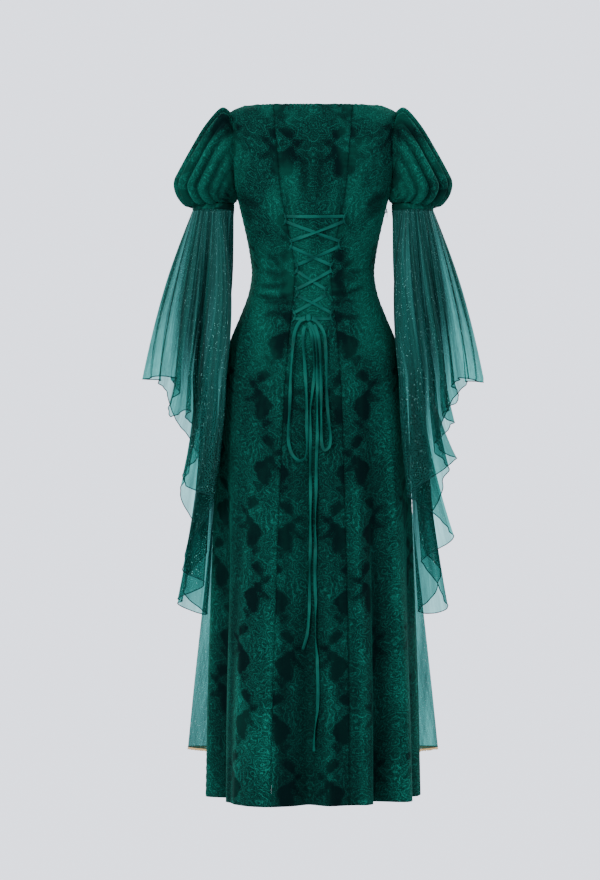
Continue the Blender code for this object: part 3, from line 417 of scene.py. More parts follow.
def through(points: np.ndarray, place: np.ndarray, closed: bool) -> np.ndarray:
    """Points on a Catmull-Rom curve through a row of points.

    Args:
        points: The points, along the first axis.
        place: Places on the curve, counted in points.
        closed: Whether the curve comes back to its start.

    Returns:
        One point for each place.
    """
    count = len(points)
    step = np.floor(place).astype(int)
    step = step if closed else np.clip(step, 0, count - 2)
    t = np.reshape(place - step, place.shape + (1,) * (points.ndim - 1))
    a, b, c, d = (
        points[(step + k) % count] if closed else points[np.clip(step + k, 0, count - 1)]
        for k in (-1, 0, 1, 2)
    )
    return 0.5 * (2 * b + (c - a) * t + (2 * a - 5 * b + 4 * c - d) * t**2 + (3 * b - a - 3 * c + d) * t**3)


def bell(distance: np.ndarray) -> np.ndarray:
    """A soft peak: 1 at no distance, a third at 1 and next to nothing at 2."""
    return np.exp(-(distance**2))


def off_line(angle: np.ndarray, line: np.ndarray | float) -> np.ndarray:
    """Turn from a line's angle to other angles, -180 to 180 degrees."""
    return (angle - line + 180.0) % 360.0 - 180.0


def compass(angle: np.ndarray) -> tuple[np.ndarray, np.ndarray]:
    """Sine and cosine of angles in degrees."""
    return np.sin(np.radians(angle)), np.cos(np.radians(angle))


def folded(folds: tuple, angle: np.ndarray, level: np.ndarray, hem: float) -> np.ndarray:
    """How far folds push the cloth out (+) or in (-).

    Args:
        folds: The folds, which grow from where they start down to the hem.
        angle: Angles to read at.
        level: Levels to read at.
        hem: The hem's level.

    Returns:
        The push at each place.
    """
    push = np.zeros(np.broadcast(angle, level).shape)
    for fold in folds:
        growth = np.maximum((fold.start - level) / (fold.start - hem), 0.0)
        push = push + fold.depth * growth**FOLD_GROWTH * bell(off_line(angle, fold.angle) / fold.spread)
    return push


def unit(vectors: np.ndarray) -> np.ndarray:
    """Vectors brought to length one."""
    return vectors / np.maximum(np.linalg.norm(vectors, axis=-1, keepdims=True), 1e-9)


def smooth(low: float, high: float, value: np.ndarray) -> np.ndarray:
    """A soft step from 0 at low to 1 at high."""
    t = np.clip((value - low) / (high - low), 0.0, 1.0)
    return t * t * (3 - 2 * t)


def walked_along(line: np.ndarray) -> np.ndarray:
    """Length walked from a line's first point to each of its points."""
    return np.concatenate([[0.0], np.cumsum(np.linalg.norm(np.diff(line, axis=0), axis=1))])


def closing_in(low: np.ndarray, high: np.ndarray, holds: Callable[[np.ndarray], np.ndarray]) -> tuple:
    """Halve a span of angles until it closes round the place where a test stops to hold.

    Args:
        low: Angles at which the test holds.
        high: Angles at which it doesn't.
        holds: The test.

    Returns:
        The last angles on either side.
    """
    for _ in range(HALVINGS):
        test = (low + high) / 2
        held = holds(test)
        low, high = np.where(held, test, low), np.where(held, high, test)
    return low, high


def waves(counts: tuple, place: np.ndarray, drift: np.ndarray) -> np.ndarray:
    """Uneven small waves, about 1 high: a sum of a few counts of waves to a whole turn.

    Args:
        counts: Numbers of waves.
        place: Share of the turn, 0 to 1.
        drift: How far along the piece the place is, 0 to 1, over which the waves wander.

    Returns:
        The height of the waves.
    """
    total, shift, wander = 0.0, 0.37, 0.4
    for k, count in enumerate(counts):
        total = total + np.cos(2 * math.pi * (count * place + shift * k * k + (0.5 - k) * wander * drift))
    return total / len(counts)


# ------------------------------------------------------------------ the velvet body's surface
class Edge(Enum):
    """The kinds of long edge that a velvet panel has."""

    BACK_SEAM = "back seam"
    FRONT_SEAM = "front seam"
    BACK_ARMHOLE = "back of the armhole and side seam"
    FRONT_ARMHOLE = "front of the armhole and side seam"


@dataclass(frozen=True)
class GownForm:
    """The velvet body's surface, read by angle and level.

    crease_gain and crease_spread deepen and widen the bodice's creases, and crease_taper thins them
    towards their ends.  normal_turn and normal_drop are the steps over which a slope is read, and
    back_reach is the widest angle at which anything lies on the back.
    """

    crease_gain: float = 1.7
    crease_spread: float = 1.35
    crease_taper: float = 0.75
    normal_turn: float = 0.5
    normal_drop: float = 0.001
    back_reach: float = 75.0

    def radius(self, angle: np.ndarray, level: np.ndarray) -> np.ndarray:
        """Distance of the wall's middle from the vertical axis, with its deep folds.

        Args:
            angle: Angles to read at.
            level: Levels to read at.

        Returns:
            The distances.
        """
        half_width, back, front, power = np.moveaxis(read(BODY, level), -1, 0)
        across, along = compass(angle)
        reach = np.where(along >= 0, back, front)
        plain = (np.abs(across / half_width) ** power + np.abs(along / reach) ** power) ** (-1.0 / power)
        return plain + folded(SKIRT_FOLDS, angle, level, -LENGTH)

    def point(self, angle: np.ndarray, level: np.ndarray) -> np.ndarray:
        """Points in the middle of the velvet wall.

        Args:
            angle: Angles to read at.
            level: Levels to read at, as they are before the neckline's front drops.

        Returns:
            The points.
        """
        radius = self.radius(angle, level)
        across, along = compass(angle)
        fade = np.clip(1.0 + level / NECK_FADE, 0.0, 1.0)
        height = level - NECK_DROP * np.maximum(0.0, -along) ** 2 * fade
        return np.stack(np.broadcast_arrays(radius * across, radius * along, height), axis=-1)

    def outward(self, angle: np.ndarray, level: np.ndarray) -> np.ndarray:
        """Directions straight out of the velvet wall.

        Args:
            angle: Angles to read at.
            level: Levels to read at.

        Returns:
            The directions, one long.
        """
        turn, drop = self.normal_turn, self.normal_drop
        around = self.point(angle + turn, level) - self.point(angle - turn, level)
        down = self.point(angle, level - drop) - self.point(angle, level + drop)
        return unit(np.cross(around, down))

    def relief(self, angle: np.ndarray, level: np.ndarray) -> np.ndarray:
        """How far the finer creases and pressed folds stand out of the wall.

        Args:
            angle: Angles to read at.
            level: Levels to read at.

        Returns:
            The height of the relief.
        """
        points = self.point(angle, level)
        x, y, z = points[..., 0], points[..., 1], points[..., 2]
        push = folded(NAP_FOLDS, angle, level, -LENGTH)
        for crease in CREASES:
            run, rise = crease.end_x - crease.start_x, crease.end_z - crease.start_z
            length = math.hypot(run, rise)
            share = ((x - crease.start_x) * run + (z - crease.start_z) * rise) / length**2
            inside = np.clip(share, 0.0, 1.0)
            sag = crease.bow * (1 - (2 * inside - 1) ** 2)
            aside = ((z - crease.start_z) * run - (x - crease.start_x) * rise) / length - sag
            beyond = (share - inside) * length
            taper = 1 - self.crease_taper * (2 * inside - 1) ** 2
            half = (y > 0) if crease.behind else (y < 0)
            near = np.exp(-(aside**2 + beyond**2) / (self.crease_spread * crease.half_width) ** 2)
            push = push + self.crease_gain * crease.depth * taper * near * half
        return push

    def armhole_angle(self, level: np.ndarray, front: bool) -> np.ndarray:
        """Angle of a side panel's outer edge: the armhole's rim, or the side seam below it.

        Args:
            level: Levels to read at.
            front: Whether the panel is a front one.

        Returns:
            The angles, on the left side.
        """
        share = 1.0 - ((level - ARMHOLE_MIDDLE) / ARMHOLE_HALF) ** 2
        depth = ARMHOLE_HALF_DEPTH * np.sqrt(np.maximum(share, 0.0))

        def inside(test: np.ndarray) -> np.ndarray:
            """Whether a place lies further from the side than the rim."""
            radius = self.radius(180.0 - test if front else test, level)
            return radius * np.cos(np.radians(test)) > depth

        _, rim = closing_in(np.full(level.shape, 40.0), np.full(level.shape, 90.0), inside)
        angle = np.where(share <= 0, 90.0, rim)
        return 180.0 - angle if front else angle

    def edge(self, edge: Edge, level: np.ndarray) -> np.ndarray:
        """Angle of a long edge of a panel.

        Args:
            edge: Which edge.
            level: Levels to read at.

        Returns:
            The angles, on the left side.
        """
        if edge is Edge.BACK_SEAM:
            return read(SEAMS, level)[..., 0]
        if edge is Edge.FRONT_SEAM:
            return read(SEAMS, level)[..., 1]
        return self.armhole_angle(level, edge is Edge.FRONT_ARMHOLE)

    def armhole_rim(self, turn: np.ndarray) -> np.ndarray:
        """Points on the left armhole's rim, lifted off the wall.

        Args:
            turn: Turns round the rim: 0 is its top and 90 its back.

        Returns:
            The points.
        """
        sine, cosine = compass(turn)
        level = ARMHOLE_MIDDLE + ARMHOLE_HALF * cosine
        angle = np.where(sine >= 0, self.armhole_angle(level, False), self.armhole_angle(level, True))
        return self.point(angle, level) + self.outward(angle, level) * PUFF_STANDOFF

    def on_back(self, x: np.ndarray, level: np.ndarray, lift: np.ndarray) -> np.ndarray:
        """Points lifted off the outside of the back.

        Args:
            x: Distances from the centre line, + to the left.
            level: Levels.
            lift: Heights above the velvet.

        Returns:
            The points.
        """
        reach = np.full(np.shape(x), self.back_reach)

        def short(test: np.ndarray) -> np.ndarray:
            """Whether an angle's place lies to the right of the place that is looked for."""
            return self.radius(test, level) * np.sin(np.radians(test)) < x

        low, high = closing_in(-reach, reach, short)
        angle = (low + high) / 2
        out = self.relief(angle, level) + VELVET / 2 + lift
        return self.point(angle, level) + self.outward(angle, level) * out[..., None]


# ------------------------------------------------------------------ meshes
def grid_normals(places: np.ndarray, closed: bool) -> np.ndarray:
    """Directions square to a grid of points.

    Args:
        places: Points, rows by columns.
        closed: Whether the last column meets the first.

    Returns:
        The directions, one long.
    """
    if closed:
        around = np.roll(places, -1, axis=1) - np.roll(places, 1, axis=1)
    else:
        around = np.gradient(places, axis=1)
    return unit(np.cross(np.gradient(places, axis=0), around))


def lengths(places: np.ndarray, axis: int) -> np.ndarray:
    """Length walked over a grid of points.

    Args:
        places: Points, rows by columns.
        axis: 0 to walk down the rows, 1 to walk across the columns.

    Returns:
        The length from the first row or column to each point.
    """
    steps = np.linalg.norm(np.diff(places, axis=axis), axis=-1)
    start = np.zeros_like(np.take(places[..., 0], [0], axis=axis))
    return np.concatenate([start, np.cumsum(steps, axis=axis)], axis=axis)


def flat_grid(across: np.ndarray, up: np.ndarray) -> np.ndarray:
    """Places on flat cloth: a row of places across by a column of places up."""
    return np.stack(np.broadcast_arrays(across[None, :], up[:, None]), axis=-1)


def cloth_object(name: str, places: np.ndarray, cut: np.ndarray, shade_and_fullness: np.ndarray, closed: bool,
                 dressing: bpy.types.Material, centre: Vector) -> bpy.types.Object:
    """A sheet of cells with its flat cut as UV map, facing away from a centre.

    Args:
        name: The piece's name.
        places: Points, rows by columns.
        cut: Places on the flat cloth in metres, with one more column where the grid is closed.
        shade_and_fullness: Painted light and shade, and how densely chiffon is gathered, from 0 to 1.
        closed: Whether the last column meets the first.
        dressing: Its material.
        centre: A point that the sheet's outer face looks away from.

    Returns:
        The piece, riding with the dress.
    """
    rows, columns = places.shape[:2]
    across = columns if closed else columns - 1
    j, i = np.meshgrid(np.arange(rows - 1), np.arange(across), indexing="ij")
    j, i = j.ravel(), i.ravel()
    ahead = (i + 1) % columns
    here, below = j * columns, (j + 1) * columns
    cells = np.stack([here + i, below + i, below + ahead, here + ahead], 1)
    corners = np.stack([cut[j, i], cut[j + 1, i], cut[j + 1, i + 1], cut[j, i + 1]], 1)
    shade = np.stack([shade_and_fullness[j, i], shade_and_fullness[j + 1, i], shade_and_fullness[j + 1, ahead], shade_and_fullness[j, ahead]], 1)
    flat = places.reshape(-1, 3)
    facing = np.cross(flat[cells[:, 2]] - flat[cells[:, 0]], flat[cells[:, 3]] - flat[cells[:, 1]])
    away = flat[cells[:, 0]] - np.array(centre)
    away[:, 2] = 0.0
    if (facing * away).sum() < 0:
        cells, corners, shade = cells[:, ::-1], corners[:, ::-1], shade[:, ::-1]
    mesh = bpy.data.meshes.new(name)
    mesh.from_pydata(flat.tolist(), [], cells.tolist())
    layer = mesh.uv_layers.new(name="cut")
    layer.data.foreach_set("uv", np.ascontiguousarray(corners, dtype=np.float32).ravel())
    # The second map carries painted light and shade, and how densely chiffon is gathered.
    layer = mesh.uv_layers.new(name="shade_and_fullness")
    layer.data.foreach_set("uv", np.stack([shade, np.zeros_like(shade)], -1).astype(np.float32).ravel())
    mesh.shade_smooth()
    return settled(name, mesh, dressing)


def settled(name: str, mesh: bpy.types.Mesh, dressing: bpy.types.Material) -> bpy.types.Object:
    """Put a mesh into the scene as one piece that rides with the dress.

    Args:
        name: The piece's name.
        mesh: Its mesh.
        dressing: Its material.

    Returns:
        The piece.
    """
    mesh.materials.append(dressing)
    piece = bpy.data.objects.new(name, mesh)
    bpy.context.scene.collection.objects.link(piece)
    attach(piece, DRESS)
    return piece


def shown(piece: bpy.types.Object, node: str) -> None:
    """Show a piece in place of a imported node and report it.

    Args:
        piece: The piece.
        node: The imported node.
    """
    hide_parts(node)
    LOG.info("%s: %d faces", piece.name, len(piece.data.polygons))


def thicken(piece: bpy.types.Object, wall: float) -> None:
    """Give a cloth shell its wall, inwards from its outer face.

    Args:
        piece: The shell.
        wall: The wall's thickness.
    """
    shell = piece.modifiers.new("Wall", "SOLIDIFY")
    shell.thickness = wall
    shell.offset = -1.0


CLOSING_STEP = 0.001  # length given on the UV map to the last cell of a closed line
UNEVEN = np.array([0.3, 0.8, 0.52])  # a direction that no line of the gown starts along


def swept(name: str, centres: np.ndarray, across: np.ndarray, out: np.ndarray, profile: np.ndarray,
          closed: bool, dressing: bpy.types.Material) -> bpy.types.Object:
    """A profile swept along a line of points, with flat ends unless the line is closed.

    Args:
        name: The piece's name.
        centres: Points along the line.
        across: The profile's first direction at each point.
        out: The profile's second direction at each point.
        profile: The profile's points in those two directions.
        closed: Whether the line comes back to its start.
        dressing: Its material.

    Returns:
        The piece, with the length along the line and round the profile as its UV map.
    """
    rings = centres[:, None] + across[:, None] * profile[None, :, :1] + out[:, None] * profile[None, :, 1:]
    count, sides = rings.shape[:2]
    walked = walked_along(centres)
    edge = walked_along(np.concatenate([profile, profile[:1]]))
    faces, corners = [], []
    for ring in range(count if closed else count - 1):
        onward = (ring + 1) % count
        for side in range(sides):
            turn = (side + 1) % sides
            here, ahead = ring * sides, onward * sides
            faces.append((here + side, here + turn, ahead + turn, ahead + side))
            start, stop = walked[ring], walked[onward] if onward else walked[ring] + CLOSING_STEP
            left, right = edge[side], edge[side + 1]
            corners += [(left, start), (right, start), (right, stop), (left, stop)]
    if not closed:
        for ring, order in ((0, range(sides - 1, -1, -1)), (count - 1, range(sides))):
            faces.append(tuple(ring * sides + side for side in order))
            corners += [(profile[side][0], walked[ring] + profile[side][1]) for side in order]
    mesh = bpy.data.meshes.new(name)
    mesh.from_pydata(rings.reshape(-1, 3).tolist(), [], faces)
    layer = mesh.uv_layers.new(name="cut")
    layer.data.foreach_set("uv", np.array(corners, dtype=np.float32).ravel())
    mesh.shade_smooth()
    return settled(name, mesh, dressing)


def turned_line(points: np.ndarray) -> tuple[np.ndarray, np.ndarray]:
    """Two directions square to a line of points, that turn as little as they can.

    Args:
        points: Points along the line.

    Returns:
        The two directions at each point.
    """
    heading = unit(np.gradient(points, axis=0))
    sides = [unit(np.cross(heading[0], UNEVEN))]
    for step in heading[1:]:
        sides.append(unit(sides[-1] - step * np.dot(sides[-1], step)))
    across = np.array(sides)
    return across, np.cross(heading, across)


def round_profile(radius: float, sides: int) -> np.ndarray:
    """A ring of points."""
    turns = 2 * math.pi * np.arange(sides) / sides
    return np.stack([np.cos(turns), np.sin(turns)], 1) * radius


def ribbon_profile(width: float, thick: float) -> np.ndarray:
    """A flat ribbon's outline with soft edges and a slight crown.

    Args:
        width: Its width.
        thick: Its thickness in the middle.

    Returns:
        The outline's points.
    """
    sides, squareness, flatness, crown = 14, 0.55, 0.7, 0.35
    turns = 2 * math.pi * (np.arange(sides) + 0.5) / sides
    across = np.sign(np.cos(turns)) * np.abs(np.cos(turns)) ** squareness * width / 2
    up = np.sign(np.sin(turns)) * np.abs(np.sin(turns)) ** flatness * thick / 2
    return np.stack([across, up * (1 - crown * (across / (width / 2)) ** 2)], 1)


# ------------------------------------------------------------------ shader expressions
class Signal:
    """A shader socket as a value in a Python expression."""

    def __init__(self, dressing: "Dressing", socket: bpy.types.NodeSocket) -> None:
        """Keep the socket and the material it belongs to."""
        self.dressing = dressing
        self.socket = socket

    def maths(self, operation: str, *others: "Signal | float") -> "Signal":
        """This value and up to two others through one Math node."""
        values = dict(enumerate((self, *others)))
        return self.dressing.signal("ShaderNodeMath", {"operation": operation}, values)

    def __add__(self, other: "Signal | float") -> "Signal":
        """Sum."""
        return self.maths("ADD", other)

    __radd__ = __add__

    def __mul__(self, other: "Signal | float") -> "Signal":
        """Product."""
        return self.maths("MULTIPLY", other)

    __rmul__ = __mul__

    def __sub__(self, other: "Signal | float") -> "Signal":
        """Difference."""
        return self.maths("SUBTRACT", other)

    def __rsub__(self, other: float) -> "Signal":
        """A number less this value."""
        return self.maths("MULTIPLY_ADD", -1.0, other)

    def __abs__(self) -> "Signal":
        """Size without its sign."""
        return self.maths("ABSOLUTE")

    def most(self, other: "Signal | float") -> "Signal":
        """The larger of two values."""
        return self.maths("MAXIMUM", other)

    def sine(self) -> "Signal":
        """Sine of this value."""
        return self.maths("SINE")

    def cosine(self) -> "Signal":
        """Cosine of this value."""
        return self.maths("COSINE")

    def step(self, low: float, high: float) -> "Signal":
        """A soft step.

        Args:
            low: Value up to which it is 0.
            high: Value from which it is 1.

        Returns:
            The step.
        """
        settings = {"interpolation_type": "SMOOTHSTEP"}
        values = {"Value": self, "From Min": low, "From Max": high, "To Min": 0.0, "To Max": 1.0}
        return self.dressing.signal("ShaderNodeMapRange", settings, values)

    def line(self, at: float, half_width: float) -> "Signal":
        """1 where this value is close to a number, and 0 away from it."""
        return 1.0 - abs(self - at).step(0.0, half_width)


class Dressing:
    """A material in the making: one Principled shader and the nodes that feed it."""

    def __init__(self, name: str) -> None:
        """Start an empty material with its shader."""
        self.material = bpy.data.materials.new(name)
        self.material.use_nodes = True
        self.tree = self.material.node_tree
        self.shader = self.tree.nodes["Principled BSDF"]

    def node(self, kind: str, settings: dict, values: dict) -> bpy.types.Node:
        """Add a node.

        Args:
            kind: The node's type.
            settings: Its own choices, such as a Math node's operation.
            values: Numbers, vectors or signals for its sockets, by name or number.

        Returns:
            The node.
        """
        made = self.tree.nodes.new(kind)
        for name, value in settings.items():
            setattr(made, name, value)
        for key, value in values.items():
            if isinstance(value, Signal):
                self.tree.links.new(value.socket, made.inputs[key])
            else:
                made.inputs[key].default_value = value
        return made

    def signal(self, kind: str, settings: dict, values: dict, output: int = 0) -> Signal:
        """Add a node and take one of its outputs."""
        return Signal(self, self.node(kind, settings, values).outputs[output])

    def cut_place(self) -> Signal:
        """Place on the flat cloth, in metres."""
        return self.signal("ShaderNodeUVMap", {"uv_map": "cut"}, {})

    def shade_and_fullness(self) -> Signal:
        """Painted light and shade, and how densely chiffon is gathered, from 0 to 1."""
        return self.part(self.signal("ShaderNodeUVMap", {"uv_map": "shade_and_fullness"}, {}), 0)

    def own_place(self) -> Signal:
        """Place in the gown's own frame."""
        return self.signal("ShaderNodeTexCoord", {}, {}, output=3)

    def part(self, vector: Signal, axis: int) -> Signal:
        """One number of a vector."""
        return self.signal("ShaderNodeSeparateXYZ", {}, {"Vector": vector}, output=axis)

    def stretched(self, vector: Signal, scale: Colour) -> Signal:
        """A vector stretched by three numbers."""
        return self.signal("ShaderNodeVectorMath", {"operation": "MULTIPLY"}, {0: vector, 1: scale})

    def noise(self, vector: Signal, scale: float, detail: float = 2.0) -> Signal:
        """Soft random values about a half; scale is in waves a metre."""
        return self.signal("ShaderNodeTexNoise", {}, {"Vector": vector, "Scale": scale, "Detail": detail})

    def spots(self, vector: Signal, scale: float) -> tuple[Signal, Signal]:
        """Scattered spots.

        Args:
            vector: The place.
            scale: Spots to a metre.

        Returns:
            The distance from the nearest spot's middle, in spots, and that spot's own random value.
        """
        cells = self.node("ShaderNodeTexVoronoi", {"feature": "F1"}, {"Vector": vector, "Scale": scale})
        return Signal(self, cells.outputs["Distance"]), Signal(self, cells.outputs["Color"])

    def mix(self, share: Signal, first: Signal | Colour, second: Signal | Colour) -> Signal:
        """A colour between two others.

        Args:
            share: How far it is from the first to the second, 0 to 1.
            first: The first colour.
            second: The second colour.

        Returns:
            The mixed colour.
        """
        values = {0: share}
        for key, colour in ((6, first), (7, second)):
            values[key] = colour if isinstance(colour, Signal) else (*colour, 1.0)
        settings = {"data_type": "RGBA", "clamp_factor": True}
        return self.signal("ShaderNodeMix", settings, values, output=2)

    def feed(self, socket: str, value: "Signal | float | Colour") -> None:
        """Give one of the shader's sockets what it works with.

        Args:
            socket: The socket's name.
            value: A number or a colour, set on the socket itself, or a signal, linked to it.
        """
        target = self.shader.inputs[socket]
        if isinstance(value, Signal):
            self.tree.links.new(value.socket, target)
        elif isinstance(value, tuple):
            target.default_value = (*value, 1.0)
        else:
            target.default_value = value

    def bump(self, height: Signal, distance: float, strength: float) -> None:
        """Raise the surface by a height of 0 to 1, distance metres at most."""
        values = {"Height": height, "Distance": distance, "Strength": strength}
        self.feed("Normal", self.signal("ShaderNodeBump", {}, values))

    def see_through(self, cover: Signal, tint: Colour) -> None:
        """Let light through the cloth where it isn't covered by its threads.

        Args:
            cover: How much the threads cover, 0 to 1.
            tint: Colour of the light that comes through.
        """
        clear = self.node("ShaderNodeBsdfTransparent", {}, {"Color": (*tint, 1.0)})
        blend = self.node("ShaderNodeMixShader", {}, {0: cover})
        self.tree.links.new(clear.outputs[0], blend.inputs[1])
        self.tree.links.new(self.shader.outputs[0], blend.inputs[2])
        self.tree.links.new(blend.outputs[0], self.tree.nodes["Material Output"].inputs["Surface"])


# ------------------------------------------------------------------ finishes
@dataclass(frozen=True)
class DamaskVelvet:
    """Plush velvet with a dense half-drop damask: nested, lobed onion shapes full of curled strokes.

    column and repeat are the design's width and height in metres, swell tells how round its shapes
    are, veins how closely its lines are nested, and the scales are in spots or waves a metre.
    """

    name: str = "damask_velvet"
    ground: Colour = (0.0002, 0.0030, 0.0030)
    # The lighter pile colour, also the end that painted highlight and fold light mix towards.
    pile_and_sheen: Colour = (0.0002, 0.0165, 0.0112)
    tuft: Colour = (0.0012, 0.0720, 0.0500)
    column: float = 0.126
    repeat: float = 0.250
    swell: float = 0.55
    veins: float = 31.0
    wander_scale: float = 70.0
    break_scale: float = 520.0
    curl_scales: tuple[float, float] = (190.0, 330.0)
    grain_scale: float = 900.0
    crush_and_sheen_scale: float = 12.0
    streak_scale: float = 70.0
    # Painted highlight: the velvet grows lighter between these two levels and stays lighter above.
    highlight_above: tuple[float, float] = (-0.66, -0.40)
    # How strongly the painted light and shade of the folds reach the colour.
    shade_gain: float = 1.7
    shade_least: float = 0.15
    specular: float = 0.02
    sheen: float = 0.14
    sheen_roughness: float = 0.26
    sheen_tint: Colour = (0.0, 0.50, 0.33)
    raised: float = 0.0009

    def make(self) -> bpy.types.Material:
        """Build the material.

        Returns:
            The material, for a piece whose UV maps are its flat cut and its painted light and shade.
        """
        look = Dressing(self.name)
        place = look.cut_place()
        wander = look.noise(place, self.wander_scale) - 0.5
        across, up = look.part(place, 0) + wander * 0.006, look.part(place, 1) + wander * 0.007
        depth, gap = self.ogee(across * (math.pi / self.column), up * (2 * math.pi / self.repeat))
        veins = ((depth * self.veins).sine() * 0.5 + 0.5).step(0.72, 0.99)
        outline = depth.line(0.24, 0.04)
        broken = look.noise(place, self.break_scale, 0.0).step(0.36, 0.56)
        large, small = self.curl_scales
        curls = self.curls(look, place, large).most(self.curls(look, place, small) * 0.8)
        grains = look.noise(place, self.grain_scale, 0.0).step(0.52, 0.64)
        motif = (depth - gap * 0.8 + curls * 0.16 + (grains - 0.5) * 0.22).step(0.08, 0.36)
        strokes = (curls * 0.55).most(veins * 0.8).most(outline * 0.9) * broken
        tufts = strokes * (motif * 0.92 + 0.04) + grains * motif * 0.32
        own = look.own_place()
        # Patches of crushed pile: a random tone, and painted highlight where the pile catches the light.
        crush_and_sheen = look.noise(look.stretched(own, (1.0, 1.0, 0.6)), self.crush_and_sheen_scale, 4.0).step(0.42, 0.64)
        streaks = look.noise(look.stretched(own, (1.0, 1.0, 0.10)), self.streak_scale, 2.0).step(0.40, 0.80)
        # Painted highlight: lighter from the hips up, over the bodice.
        brushing_and_highlight = look.part(own, 2).step(*self.highlight_above)
        # Painted light on the ridges of folds and creases, painted shade in their troughs.
        lit = look.shade_and_fullness() * self.shade_gain + self.shade_least
        # The lighter pile: damask and streaks, with the painted highlight and fold shade over them.
        pile_and_sheen = (crush_and_sheen * (brushing_and_highlight * 0.95 + 0.20) + streaks * 0.16 + motif * 0.16 - 0.02) * lit
        # The curled tufts take the same painted light and shade.
        shining = tufts * (crush_and_sheen * 0.28 + brushing_and_highlight * 0.06 + 0.46) * lit
        look.feed("Base Color", look.mix(shining, look.mix(pile_and_sheen, self.ground, self.pile_and_sheen), self.tuft))
        look.feed("Roughness", 0.90 - tufts * 0.15)
        look.feed("Specular IOR Level", self.specular)
        look.feed("Sheen Weight", self.sheen)
        look.feed("Sheen Roughness", self.sheen_roughness)
        look.feed("Sheen Tint", self.sheen_tint)
        look.bump(tufts * 0.8 + streaks * 0.25 + motif * 0.3, self.raised, 0.6)
        return look.material

    def ogee(self, across: Signal, up: Signal) -> tuple[Signal, Signal]:
        """How deep a place lies inside its onion shape, and whether it is a plain gap between leaves.

        Args:
            across: The place across the columns, half a turn to a column.
            up: The place along them, a turn to a repeat.

        Returns:
            The depth, 0 on the line between two columns, and the gap, 0 or 1.
        """
        plain = abs(across.cosine() + up.cosine() * self.swell)
        lobes = (across * 2.0).cosine() * (up * 6.0 + 0.8).cosine() * 0.17
        leaves = (across * 5.0).cosine() * (up * 7.0 + 0.4).cosine() * 0.20
        fans = (across * 8.0).cosine() * (up * 10.0).cosine() * 0.12
        between = (0.0 - (across * 2.0).cosine()).most(0.0)
        open_ground = between * (up * 2.0 + 1.2).cosine().most(0.0)
        return plain + lobes + leaves + fans, open_ground.step(0.40, 0.95)

    def curls(self, look: Dressing, place: Signal, scale: float) -> Signal:
        """Little rings of raised tufts, so many to a metre."""
        return look.spots(place, scale)[0].line(0.36, 0.13)


@dataclass(frozen=True)
class GlitterChiffon:
    """Sheer crinkled chiffon with a sprinkle of silver glitter; scales are in spots or waves a metre."""

    name: str = "glitter_chiffon"
    threads: Colour = (0.0006, 0.0250, 0.0205)
    shaded_gain: float = 0.35
    lit_gain: float = 1.55
    glitter: Colour = (0.30, 0.58, 0.54)
    tint: Colour = (0.43, 0.85, 0.80)
    cover: float = 0.66
    glitter_scale: float = 420.0
    crinkle_scale: float = 330.0
    weave_scale: float = 1400.0
    line_scale: float = 120.0
    shade_scale: float = 34.0
    raised: float = 0.0012

    def make(self) -> bpy.types.Material:
        """Build the material.

        Returns:
            The material, for a piece whose UV maps are its flat cut and its painted shade and gathering.
        """
        look = Dressing(self.name)
        place = look.cut_place()
        distance, tone = look.spots(place, self.glitter_scale)
        chance = look.part(tone, 0)
        glitter = (1.0 - distance.step(0.10, 0.20)) * chance.step(0.78, 0.82)
        crinkle = look.noise(look.stretched(place, (1.0, 0.12, 1.0)), self.crinkle_scale, 2.0)
        weave = look.noise(look.stretched(place, (1.0, 0.6, 1.0)), self.weave_scale, 0.0)
        # The lines and the shade are painted shade and light of the fine vertical pleats.
        lines = look.noise(look.stretched(place, (1.0, 0.03, 1.0)), self.line_scale, 2.0).step(0.35, 0.65)
        shade = look.noise(look.stretched(place, (1.0, 0.05, 1.0)), self.shade_scale, 2.0).step(0.36, 0.66)
        shade = shade * 0.6 + lines * 0.4
        # Shaded and lit copies of the threads' colour, mixed by the painted pleat shade.
        dark, light = (tuple(c * gain for c in self.threads) for gain in (self.shaded_gain, self.lit_gain))
        look.feed("Base Color", look.mix(glitter, look.mix(shade, dark, light), self.glitter))
        look.feed("Roughness", 0.62 - glitter * 0.35)
        look.feed("Specular IOR Level", 0.05)
        look.feed("Sheen Weight", 0.04)
        look.feed("Sheen Roughness", 0.4)
        look.feed("Sheen Tint", (0.0, 0.7, 0.6))
        look.bump(crinkle * 0.7 + weave * 0.3, self.raised, 0.55)
        # The threads cover more where the pleats are painted darker, and where the map has painted shade or
        # dense gathers.
        cover = (crinkle - 0.5) * 0.25 + (0.5 - shade) * 0.30 + (look.shade_and_fullness() - 0.5) * 0.42 + self.cover
        look.see_through(cover.most(glitter), self.tint)
        return look.material


